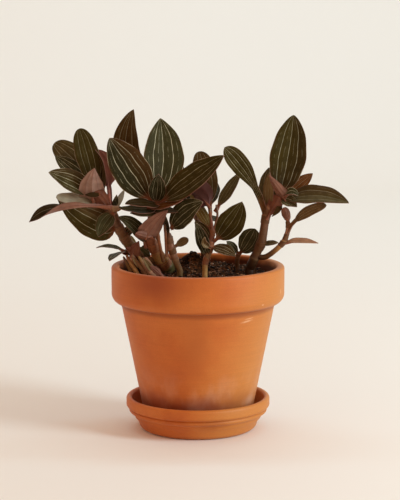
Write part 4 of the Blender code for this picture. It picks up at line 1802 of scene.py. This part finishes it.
@dataclass(frozen=True)
class SoftBox:
    """A soft box: where it hangs and the point it looks at, its size in metres, its watts."""

    name: str
    at: Point
    aim: Point
    size: Pair
    power: float
    colour: str

    def hang(self) -> None:
        """Adds the light."""
        data = bpy.data.lights.new(self.name, "AREA")
        data.shape = "RECTANGLE"
        data.size, data.size_y = self.size
        data.energy = self.power
        data.color = linear(self.colour)[:3]
        lamp = bpy.data.objects.new(self.name, data)
        bpy.context.scene.collection.objects.link(lamp)
        lamp.location = Vector(self.at) * MM
        lamp.rotation_euler = (Vector(self.aim) - Vector(self.at)).to_track_quat("-Z", "Y").to_euler()


@dataclass
class Studio:
    """A seamless pale sweep, soft light from the right, and the camera."""

    floor_colour: str = "#F4EADD"
    floor_drop: float = 0.05
    half_wide: float = 3000.0
    front: float = -2600.0
    back: float = 1900.0
    bend: float = 900.0
    tall: float = 3600.0
    boxes: tuple[SoftBox, ...] = (
        SoftBox("key_right", (1500, -720, 980), (0, 0, 110), (0.5, 0.5), 17.3, "#CEEDFF"),
        SoftBox("low_right", (1500, -720, 420), (0, 0, 110), (0.6, 0.5), 10.4, "#CEEDFF"),
        SoftBox("wall_wash", (0, 900, 2600), (0, 2800, 700), (3.0, 0.6), 37.7, "#A9E1FF"),
        SoftBox("cool_wash", (1100, 900, 2300), (1100, 2800, 500), (1.2, 0.6), 5.7, "#40CDFF"))
    room_colour: str = "#FFDEC5"
    room_light: float = 0.7
    camera_at: Point = (1.77, -1400.0, 357.9)
    pitch: float = 8.19
    lens: float = 117.6
    sensor: float = 36.0

    def sweep_point(self, u: float, v: float) -> Vector:
        """A point of the paper sweep.

        Args:
            u: from 0 at the left to 1 at the right.
            v: along the floor up to 0.4, up the bend to 0.8, then up the wall to 1.

        Returns:
            The point.
        """
        x, floor = (2 * u - 1) * self.half_wide, -self.floor_drop
        if v < 0.4:
            return Vector((x, self.front + (self.back - self.front) * v / 0.4, floor))
        if v < 0.8:
            turn = math.pi / 2 * (v - 0.4) / 0.4
            return Vector((x, self.back + self.bend * math.sin(turn),
                           self.bend * (1 - math.cos(turn)) + floor))
        return Vector((x, self.back + self.bend,
                       self.bend + (self.tall - self.bend) * (v - 0.8) / 0.2))

    def sweep(self) -> bpy.types.Object:
        """The paper floor that curves up into the wall.

        Returns:
            The backdrop, which isn't part of the object.
        """
        sheet = Sheet(1, 60)
        sheet.bend(self.sweep_point)
        made, tree = new_material("paper_backdrop")
        surface = add(tree, "ShaderNodeBsdfDiffuse", {"Color": linear(self.floor_colour)})[0]
        add(tree, "ShaderNodeOutputMaterial", {"Surface": surface})
        piece = finish_piece("backdrop_sweep", sheet.shape, [made], sharp=180.0)
        return piece

    def light_room(self) -> None:
        """Hangs the soft boxes and lights the room evenly."""
        for box in self.boxes:
            box.hang()
        world = bpy.data.worlds.new("warm_room")
        bpy.context.scene.world = world
        world.use_nodes = True
        tree = world.node_tree
        tree.nodes.clear()
        sky = add(tree, "ShaderNodeBackground", {
            "Color": linear(self.room_colour), "Strength": self.room_light})[0]
        add(tree, "ShaderNodeOutputWorld", {"Surface": sky})

    def place_camera(self) -> None:
        """Sets the camera at the photograph's viewing angle."""
        data = bpy.data.cameras.new("camera")
        data.sensor_fit = "VERTICAL"
        data.sensor_height = self.sensor
        data.lens = self.lens
        camera = bpy.data.objects.new("camera", data)
        bpy.context.scene.collection.objects.link(camera)
        camera.location = Vector(self.camera_at) * MM
        camera.rotation_euler = (math.radians(90 - self.pitch), 0.0, 0.0)
        bpy.context.scene.camera = camera
        bpy.context.scene.view_settings.view_transform = "Standard"

    def build(self) -> None:
        """Sets up the sweep, the lights and the camera."""
        self.sweep()
        self.light_room()
        self.place_camera()


# The soil is made first, because each shoot comes out of it at its own height.
SOIL = BarkSoil(ClayPot())


def rooted(x: float, y: float, *points: Point) -> list[Point]:
    """A stem's points from below the soil: upright where it comes out, then through the points."""
    top = SOIL.height(x, y)
    return [(x, y, top + rise) for rise in (-8.0, 1.0, 5.0)] + list(points)


# The leaning stem of the left crown, with the clump of thin stalks at its foot.
LEFT_SHOOT = Shoot(
    "shoot_left",
    [Stem(rooted(-42, 25, (-48, 22, 144), (-60, 15, 159), (-69, 8, 175), (-74, 4, 187),
                 (-80, 2, 196), (-85, 3, 204), (-88, 5, 209)),
          [3.8, 3.8, 3.8, 4.2, 4.7, 4.4, 3.9, 3.6, 3.2, 2.6],
          [Skin.DARK, Skin.BROWN, Skin.OLIVE, Skin.BROWN, Skin.BROWN, Skin.RED],
          nodes=(14.0, 58.0)),
     Stem([(-76.5, -4, 191.8), (-73, -5, 192.7), (-68.7, -5, 193.2), (-65.3, -4, 193.5)],
          [1.8, 2.5, 2.4, 1.5], [Skin.RED, Skin.HUSK, Skin.OLIVE], nodes=(4.0, 6.0, 8.0)),
     Stem([(-56.5, 2, 130.6), (-58.2, 2, 136.8), (-61.8, 6, 143.2), (-65.3, 8, 150)],
          [1.7, 1.8, 1.5, 0.9], [Skin.BROWN, Skin.TAN, Skin.HUSK]),
     Stem([(-49.3, -4, 129.9), (-52.8, -3, 136.7), (-58.1, 2, 143.8), (-62.6, 6, 152)],
          [1.9, 2.0, 1.7, 1.0], [Skin.BROWN, Skin.GOLD, Skin.BRICK], nodes=(11.0,)),
     Stem([(-41.5, -6, 129.3), (-44.9, -5, 136.2), (-51.1, 0, 143.3), (-57.3, 3, 150.7)],
          [2.1, 2.1, 1.8, 1.1], [Skin.MOSS, Skin.OLIVE, Skin.BRICK], nodes=(9.0,)),
     Stem([(-34.5, -9, 128.1), (-39.6, -8, 135.8), (-45.8, -3, 142.9), (-51.9, 0, 151.2)],
          [2.2, 2.4, 2.0, 1.2], [Skin.BROWN, Skin.ROSE, Skin.TAN], nodes=(12.0,)),
     Stem([(-28.5, -6, 128.4), (-34.5, -6, 135.4), (-40.7, -2, 142.7), (-45.9, 1, 150.1)],
          [2.3, 2.6, 2.2, 1.3], [Skin.DARK, Skin.BROWN, Skin.ROSE]),
     Stem([(-40.1, 8, 128.8), (-42.7, 8, 135.9), (-48, 10, 143.5), (-53.2, 10, 153.2)],
          [1.7, 1.8, 1.6, 1.0], [Skin.BROWN, Skin.BRICK, Skin.BROWN])],
    [Leaf((-88, 7, 205), (-103.5, 28, 259.5), 21, (0.1, -0.95, 0.2), bow=(1, -3, 0),
          form=Form.BLUNT, upper=Upper.OLIVE, veins=0.4),
     Leaf((-88, 9, 206), (-126.5, 38, 246), 24, (0.2, -0.9, 0.3), bow=(2, 0, 3), form=Form.BLUNT,
          upper=Upper.MOSS, veins=0.6),
     Leaf((-88, 7, 207), (-125, 24, 236), 17, (0, -0.8, 0.6), bow=(0, 0, 1), upper=Upper.GREY_SHEEN,
          veins=1.0),
     Leaf((-86, 3, 203), (-127, -16, 225.5), 20, (-0.1, -0.85, 0.5), bow=(0, 0, 2),
          upper=Upper.OLIVE, veins=1.0, flush_and_lit_side=0.7),
     Leaf((-90.3, -2, 199.3), (-88, -14, 228.9), 23.5, (-0.15, 1, 0.1), bow=(-1.5, -3, 0), fold=16,
          stalk=0.0, form=Form.HOODED, under=Under.GREYISH),
     Leaf((-83.8, -9, 205.3), (-96.4, -13, 205.7), 5, (0.1, -0.85, 0.5), stalk=0.02,
          upper=Upper.UMBER, veins=0.0),
     Leaf((-73.3, -1, 188.8), (-89.1, -7, 207.6), 15, (0.1, 0.95, 0.2), fold=16, stalk=0.0,
          form=Form.CLUBBED, under=Under.BRICK),
     Leaf((-84.5, 0, 196.5), (-121.5, -9, 203.6), 13, (0, -0.75, 0.65), fold=6, stalk=0.05,
          form=Form.BLUNT, upper=Upper.PALE, veins=0.1),
     Leaf((-83, 5, 200), (-90, 18, 242.5), 15, (-0.85, -0.45, 0.2), bow=(4, 0, 0),
          upper=Upper.BRONZE, veins=0.5),
     Leaf((-77, 5, 191), (-89, 34, 241), 23, (0.3, 0.95, 0), bow=(4, 0, 0), stalk=0.4,
          under=Under.WINE, stem=Skin.SALMON, stalk_half=2.4),
     # Its tan second tone is a painted highlight on the half that the light falls on.
     Leaf((-70, 6, 175), (-121, -8, 204), 33, (-0.1, -0.92, 0.3), bow=(2, -4, -4), fold=-18,
          stalk=0.05, form=Form.FULL_BASE, upper=Upper.OLIVE, veins=0.7, flush_and_lit_side=0.9,
          flush_and_lit_tone=Upper.TAN),
     Leaf((-74, -3, 193.4), (-142.8, -30, 184.6), 20, (0.1, 0.44, 0.9), bow=(0, -2, 6), fold=34,
          twist=-150, stalk=0.05, form=Form.LATE, upper=Upper.UMBER, under=Under.CLAY, veins=0.3,
          stalk_half=2.4),
     Leaf((-72.1, -6, 189.4), (-85, -17, 170.1), 16, (-0.3, -0.92, 0.1), bow=(-1, 0, 1), fold=18,
          stalk=0.05, upper=Upper.GREY_SHEEN, veins=0.3),
     Leaf((-74, 4, 188), (-70, 0, 204.5), 6, (0.5, -0.8, 0), form=Form.SLIM),
     Leaf((-74, 5, 188), (-64, 14, 207.5), 6, (0.6, -0.7, 0.2), form=Form.SLIM, upper=Upper.PALE,
          veins=0.2, under=Under.PALE),
     Leaf((-65, 12, 166), (-58, 8, 177), 9, (0.4, -0.8, 0.4), upper=Upper.BRONZE),
     Leaf((-58.2, 4, 149.7), (-51, -1, 164.4), 13, (0.2, 0.9, 0.2), fold=26, stalk=0.0,
          form=Form.FLARED, under=Under.BRICK),
     Leaf((-52.2, 6, 150.3), (-62.4, 2, 158.7), 7, (0.2, 0.9, 0.2), fold=20, stalk=0.0,
          under=Under.BRICK),
     Leaf((-41.2, 18, 144.9), (-52.7, 22, 155.9), 9, (0.1, -0.9, 0.2), upper=Upper.MOSS, veins=0.2),
     Leaf((-46.7, -2, 137.4), (-57.2, 1, 149.3), 4.5, (0.3, -0.9, 0.3), form=Form.SLIM, fold=25,
          upper=Upper.HUSK, under=Under.HUSK, veins=0.3),
     Leaf((-37.1, -8, 134.9), (-47.4, -6, 150.3), 6, (0.3, -0.9, 0.3), form=Form.SLIM, fold=30,
          upper=Upper.TAN, under=Under.PINK, veins=0.2),
     Leaf((-30.1, -10, 134.3), (-41.3, -8, 143.6), 7, (-0.2, 0.9, 0.3), form=Form.SLIM),
     Leaf((-84, 4, 201), (-100, 62, 222), 26, (0, -0.3, 0.95), bow=(0, 0, 6)),
     Leaf((-86, 4, 204), (-124, 44, 212), 22, (-0.2, -0.4, 0.9), bow=(0, 0, 6))])

# The stem behind it, with the tall bronze leaf.
BACK_LEFT_SHOOT = Shoot(
    "shoot_back_left",
    [Stem(rooted(-33, 42, (-35, 43, 152), (-38, 42, 172), (-41, 41, 190), (-43, 40, 200)),
          [2.8, 2.8, 2.8, 2.7, 2.6, 2.9, 1.9], [Skin.BROWN, Skin.RED], nodes=(16.0, 34.0))],
    [Leaf((-43, 40, 197), (-57, 52, 275), 25, (-0.15, -0.97, 0.1), bow=(-13, 0, 0),
          upper=Upper.BRONZE, veins=0.45),
     Leaf((-43, 40, 197), (-80, 84, 228), 26, (0.1, -0.5, 0.85), bow=(0, 0, 5)),
     Leaf((-43, 40, 195), (-22, 88, 222), 26, (-0.2, -0.5, 0.85), bow=(0, 0, 6), upper=Upper.OLIVE),
     Leaf((-41, 41, 188), (-52, 74, 192), 15, (0, -0.4, 0.9), bow=(0, 0, 4))])

# The thick stem of the centre crown.
CENTRE_SHOOT = Shoot(
    "shoot_centre",
    [Stem(rooted(-27, 20, (-32, 15, 145), (-37, 8, 155), (-41, 2, 166), (-41, 0, 176),
                 (-40, -1, 185), (-38, -3, 194), (-36, -3, 200)),
          [6.0, 6.2, 6.6, 6.2, 5.0, 4.3, 3.7, 3.4, 3.2, 2.2],
          [Skin.DARK, Skin.MOSS, Skin.GOLD, Skin.BRICK, Skin.RED, Skin.RED, Skin.RED],
          nodes=(16.0,)),
     Stem([(-30, 2, 146), (-32, -1, 156), (-34, -4, 168), (-35.5, -5, 180)],
          [1.5, 1.4, 1.3, 1.0], [Skin.BROWN, Skin.BRICK, Skin.BROWN]),
     Stem([(-27, 4, 150), (-27.5, 2, 160), (-28, 0, 170), (-29, -2, 180)],
          [1.5, 1.4, 1.3, 1.0], [Skin.ROSE, Skin.BRICK, Skin.BROWN])],
    [Leaf((-38, -3, 196), (-75, -16, 254.5), 32, (-0.1, -0.93, 0.35), form=Form.BROAD, veins=1.0,
          flush_and_lit_side=0.35, flush_and_lit_tone=Upper.RUST),
     Leaf((-36, -2, 196), (-33, 30, 268.5), 37, (0.25, -0.95, 0.15), bow=(4, 0, 0), fold=14,
          stalk=0.15, upper=Upper.GREY_SHEEN, veins=1.15),
     Leaf((-36, -3, 196), (22, -34, 241.5), 28, (0.25, -0.72, 0.62), bow=(1, 0, -2), fold=24,
          upper=Upper.OLIVE, veins=0.6),
     Leaf((-36, -4, 196), (-33.5, -16, 224), 15.5, (0, -1, 0.1), fold=14),
     Leaf((-32.5, -8, 195.7), (-61.5, -30, 199.9), 17, (-0.05, -0.45, 0.88), bow=(0, 0, 1),
          upper=Upper.UMBER, veins=0.2, stalk=0.05),
     Leaf((-42.9, -6, 195.4), (-12.6, -26, 202.9), 16, (0.1, -0.4, 0.9), bow=(0, 0, -4), fold=16,
          upper=Upper.RUST, veins=0.2, stalk=0.05),
     Leaf((-34.4, -4, 191.8), (-67.9, -22, 195.6), 15, (0, -0.4, 0.9), bow=(0, 0, -2), fold=14,
          upper=Upper.GREY_SHEEN, veins=0.4, stalk=0.05),
     Leaf((-27.5, -2, 192.4), (-58, -16, 190.6), 9, (0, -0.7, 0.7), bow=(0, 0, -2), fold=10,
          upper=Upper.MOSS, veins=0.2, stalk=0.1),
     Leaf((-41.3, -3, 192.5), (-17, -14, 191.2), 12, (0.1, -0.5, 0.85), upper=Upper.BRONZE,
          veins=0.3, stalk=0.05),
     Leaf((-45.1, -8, 166.7), (-25.5, -16, 193.2), 20, (-0.2, 0.95, 0.2), bow=(-1, 0, 1), fold=18,
          stalk=0.0, form=Form.FLARED, under=Under.CLAY, stalk_half=0.9),
     Leaf((-39.1, -7, 168.3), (-53.5, -13, 172.6), 10, (0, 0.9, 0.4), bow=(0, 0, -1), fold=24,
          stalk=0.0, form=Form.BLUNT, under=Under.CLAY),
     Leaf((-44.2, 2, 157.9), (-68.7, -6, 185.9), 14, (0.45, -0.75, 0.4), bow=(3, 0, 4),
          upper=Upper.GREY_SHEEN, veins=0.5),
     Leaf((-33, 14, 143), (-50, 6, 148), 7, (0, 0.9, 0.4), form=Form.SLIM, under=Under.HUSK),
     Leaf((-37, -2, 195), (-18, 56, 228), 30, (-0.1, -0.6, 0.8), bow=(0, 0, 4))],
    sheath=Skin.BRICK)

# The thin reddish stem to its right.
SLENDER_SHOOT = Shoot(
    "shoot_slender",
    [Stem(rooted(-16, 8, (-19, 6, 145), (-23, 3, 158), (-24.5, 1, 168), (-25, 0, 172)),
          [2.6, 2.6, 2.7, 2.9, 3.3, 2.0, 1.3], [Skin.MOSS, Skin.OLIVE, Skin.ROSE, Skin.BROWN],
          nodes=(24.0,))],
    [Leaf((-23.3, 0, 174.7), (4.3, -26, 201.2), 22, (-0.3, -0.9, 0.3), bow=(-2, 0, 2), stalk=0.05,
          upper=Upper.GREY_SHEEN, veins=1.0),
     Leaf((-23, 3, 157), (-8.5, 6, 165.5), 8, (0, -0.8, 0.6), stalk=0.3, form=Form.BLUNT,
          upper=Upper.TAN, veins=0.2),
     Leaf((-24.5, 1, 167), (-30, 8, 188), 6, (-0.5, -0.8, 0), form=Form.SLIM)])

# The stem with the bright node at its foot, which parts in two near its top.
CENTRE_RIGHT_SHOOT = Shoot(
    "shoot_centre_right",
    [Stem(rooted(6, -8, (6.5, -9, 147), (10, -8, 158), (12.5, -6, 171), (12.1, -5, 178),
                 (10.8, -4, 186.6), (10.4, -2, 195)),
          [2.3, 2.3, 2.3, 2.3, 2.9, 2.1, 1.4, 1.2, 1.0],
          [Skin.TAN, Skin.GOLD, Skin.OLIVE, Skin.RED, Skin.RED, Skin.BROWN]),
     Stem([(12.8, -6, 169), (15.5, -5, 180.6), (16.8, -4, 188.3), (15.5, -3, 196.8)],
          [1.6, 1.2, 1.0, 0.9], [Skin.RED, Skin.BROWN])],
    [Leaf((10.5, -2, 192), (1.5, 34, 239), 21, (0.1, -0.85, 0.5), bow=(1, 0, 0), form=Form.BLUNT,
          upper=Upper.BRONZE, veins=0.4),
     Leaf((10.8, -2, 192.5), (-8, 12, 206.5), 26, (-0.2, 0.9, 0.4), bow=(0, 0, 4),
          under=Under.PURPLE),
     Leaf((14.6, -3, 190), (37, 4, 224), 12, (-0.55, -0.75, 0.35), stalk=0.15, upper=Upper.MOSS,
          veins=0.3),
     Leaf((11.5, -8, 163), (37.5, -22, 201), 23, (0.05, -0.97, 0.2), bow=(3, 0, -1), stalk=0.15,
          upper=Upper.OLIVE, veins=0.4, painted_base_shade=0.5),
     Leaf((12, -4, 173), (-7, 14, 204), 10.5, (0.3, -0.9, 0.2), upper=Upper.GOLDEN, veins=1.0),
     Leaf((9.5, -9, 149), (-1, -16, 182), 11.5, (-0.2, -0.95, 0.1)),
     Leaf((11.5, -8, 164), (-2, 4, 181), 12, (0.2, -0.9, 0.4), upper=Upper.MOSS),
     Leaf((11, -8, 160), (32, -22, 154), 13, (0, -0.6, 0.8), bow=(0, 0, 2), upper=Upper.BRONZE,
          veins=1.0),
     Leaf((11.2, -12, 159.9), (6, -15, 169.8), 7, (-0.3, -0.9, 0.2), bow=(-2, 0, -1), fold=30,
          upper=Upper.TAN, under=Under.HUSK, veins=1.0),
     Leaf((10.8, -3, 190), (8, 52, 212), 20, (0, -0.5, 0.85), bow=(0, 0, 5))],
    sheath=Skin.BRICK)

# The stem between the crowns at the back, made up but for the glimpses of it.
BACK_SHOOT = Shoot(
    "shoot_back",
    [Stem(rooted(5, 38, (3, 38, 156), (0, 38, 175), (-2, 37, 190)),
          [2.3, 2.3, 2.3, 2.2, 2.6, 1.6], [Skin.DARK, Skin.BROWN, Skin.BROWN],
          nodes=(20.0, 36.0))],
    [Leaf((-2, 37, 187), (-2, 66, 222), 24, (0, -0.7, 0.7)),
     Leaf((-2, 37, 187), (12, 86, 202), 22, (0, -0.3, 0.95), bow=(0, 0, 6), upper=Upper.OLIVE),
     Leaf((-1, 38, 179), (-30, 66, 200), 22, (0.2, -0.5, 0.8), bow=(0, 0, 4)),
     Leaf((0, 38, 176), (30, 60, 168), 16, (0.1, -0.3, 0.95), bow=(0, 0, 5))])

# The short seedling in front of the right stem.
YOUNG_SHOOT = Shoot(
    "shoot_young",
    [Stem(rooted(34.5, 22, (34.5, 20, 145), (36, 17, 152)), [1.9, 1.9, 1.9, 1.9, 1.5],
          [Skin.DARK, Skin.BROWN])],
    [Leaf((35.8, 17.5, 150), (49.7, 12, 173.2), 19, (-0.1, -0.95, 0.25), bow=(1, 0, -1),
          form=Form.BLUNT, upper=Upper.FERN, veins=1.0),
     Leaf((35.8, 17.5, 150), (25, 12, 162.5), 9, (0.1, -0.8, 0.6), upper=Upper.GREY_SHEEN)])

# The right crown, with the side branch that arches out from its foot.
RIGHT_SHOOT = Shoot(
    "shoot_right",
    [Stem(rooted(45.5, 12, (48, 9, 145), (52, 7, 155), (55, 5, 162), (57, 3, 173),
                 (58.5, 2, 184), (61, 0, 193), (65.5, -2, 198), (71, -3, 201)),
          [4.2, 4.2, 4.2, 4.1, 3.9, 4.2, 3.6, 3.5, 3.7, 2.9, 2.0],
          [Skin.DARK, Skin.DARK, Skin.BROWN, Skin.BROWN, Skin.RED, Skin.RED],
          nodes=(24.0,)),
     Stem([(50, 8, 150), (58, 5, 149.5), (66, 2, 155), (73.5, -1, 163), (76.5, -2, 170),
           (77.5, -3, 180), (76, -3, 188)],
          [2.4, 2.4, 2.3, 2.4, 1.8, 1.5, 1.2],
          [Skin.DARK, Skin.BROWN, Skin.GOLD, Skin.ROSE, Skin.RED], nodes=(29.0,))],
    [Leaf((69, -3, 199), (83.5, 26, 271.5), 31.5, (0, -0.98, 0.2), bow=(1.5, 0, 0), stalk=0.1,
          form=Form.BROAD, upper=Upper.OLIVE, veins=0.55, flush_and_lit_side=0.8, flush_and_lit_tone=Upper.UMBER, painted_base_shade=0.9),
     Leaf((59, 1, 187), (22.5, -28, 247.5), 17, (-0.4, -0.75, 0.5), bow=(4, 0, 2), stalk=0.2,
          form=Form.CLUBBED, upper=Upper.OLIVE, stem=Skin.BROWN, stalk_half=3.0),
     Leaf((61, 0, 193), (62, 22, 226), 18, (-0.3, -0.9, 0.3), upper=Upper.MOSS, veins=0.5),
     Leaf((60, 1, 189), (61.5, -8, 224.5), 12, (-0.6, -0.75, 0.1), upper=Upper.TAN, veins=0.4),
     Leaf((75.5, -8, 200), (60.1, -24, 223.9), 12, (0.35, 0.9, 0.25), bow=(-1, 0, 1), fold=25,
          stalk=0.0, form=Form.FLARED, under=Under.CLAY, stalk_half=0.9),
     Leaf((59.5, -2, 183.7), (69.4, -9, 204.4), 14, (0.2, 0.95, 0.2), fold=24, stalk=0.0,
          form=Form.CLUBBED, under=Under.BRICK),
     Leaf((69, -3, 198), (128, -24, 200), 24, (0.1, -0.62, 0.78), bow=(0, 0, 6), fold=12,
          upper=Upper.MOSS, veins=0.4, flush_and_lit_side=-0.9, painted_base_shade=0.0),
     Leaf((72, 10, 199), (100, 16, 221.5), 13, (-0.1, -0.95, 0.2), upper=Upper.RUST, veins=0.3),
     Leaf((70.4, -6, 201.5), (84.5, -16, 195.8), 14, (-0.2, -0.6, 0.75), fold=30, upper=Upper.MOSS,
          veins=1.0),
     Leaf((73.6, -10, 203.7), (85.4, -14, 205), 10, (0.1, -0.6, 0.7), bow=(0, -2, 3), fold=35,
          upper=Upper.GREY_SHEEN, veins=1.0),
     Leaf((70, -3, 199), (63.5, -8, 186.5), 5, (0.3, -0.8, 0.4), bow=(3, 0, 1), form=Form.SLIM,
          upper=Upper.BRONZE, veins=0.1),
     Leaf((78.5, -3, 180.4), (73.8, -8, 194.4), 8.5, (0, 1, 0), fold=30, stalk=0.05,
          form=Form.BLUNT, under=Under.CLAY),
     Leaf((76.5, -2, 170), (109.5, -18, 197.5), 11, (-0.35, -0.75, 0.55), bow=(-5, 0, 3),
          stalk=0.35, form=Form.BLUNT, upper=Upper.TAN, veins=0.6, stem=Skin.HUSK, stalk_half=2.1),
     Leaf((74, -1, 163.5), (103.5, -8, 163.5), 12, (0.2, 0.45, 0.87), fold=25, under=Under.PINK),
     Leaf((55, 5, 161), (69.5, -2, 163), 7, (0, -0.6, 0.8), upper=Upper.MOSS),
     Leaf((62, 0, 194), (80, 56, 226), 28, (-0.1, -0.5, 0.85), bow=(0, 0, 5)),
     Leaf((68, -2, 199), (96, 50, 206), 24, (0, -0.4, 0.9), bow=(0, 0, 6))],
    sheath=Skin.BROWN)

# The low shoot that leans out over the left of the rim.
LOW_OUTER_SHOOT = Shoot(
    "shoot_low_outer",
    [Stem(rooted(-49, 26, (-54, 26, 145), (-61, 25, 150), (-65, 24.5, 152)),
          [1.8, 1.8, 1.8, 1.7, 1.8, 1.3], [Skin.TAN, Skin.BROWN, Skin.DARK])],
    [Leaf((-64, 24.5, 151), (-90, 30, 154), 9, (0, -0.2, 0.97), bow=(0, 0, 3), upper=Upper.GREY_SHEEN),
     Leaf((-64, 24.5, 151), (-76, -12, 148.6), 13, (-0.3, -0.35, 0.85), bow=(0, 0, 2),
          upper=Upper.GREY_SHEEN, veins=1.0)])

# The low shoot behind it.
LOW_INNER_SHOOT = Shoot(
    "shoot_low_inner",
    [Stem(rooted(-45, 37, (-49, 36, 144), (-57, 32, 151)), [1.7, 1.7, 1.7, 1.7, 1.2],
          [Skin.TAN, Skin.BROWN])],
    [Leaf((-56, 32.5, 150), (-66, 40, 166), 12, (0.3, -0.7, 0.6), upper=Upper.GOLDEN),
     Leaf((-50, 35.5, 144.5), (-44, 30, 158), 9, (-0.3, -0.8, 0.4))])

SHOOTS = (LEFT_SHOOT, BACK_LEFT_SHOOT, CENTRE_SHOOT, SLENDER_SHOOT, CENTRE_RIGHT_SHOOT,
          BACK_SHOOT, YOUNG_SHOOT, RIGHT_SHOOT, LOW_OUTER_SHOOT, LOW_INNER_SHOOT)


def main() -> None:
    """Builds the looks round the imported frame."""
    logging.basicConfig(level=logging.INFO, format="%(name)s: %(message)s")
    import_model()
    ClaySaucer().build()
    ClayPot().build()
    SOIL.build([shoot.root() for shoot in SHOOTS])
    finishes = PlantFinishes(VelvetLeaf().make(), LeafUnderside().make(), StemSkin().make(),
                             StemSkin("sheath_papery", roughness=0.7, streak=0.9).make())
    for shoot in SHOOTS:
        shoot.build_stems(finishes)
        shoot.build_leaves(finishes)
    Studio().build()
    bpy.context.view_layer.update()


if __name__ == "__main__":
    main()
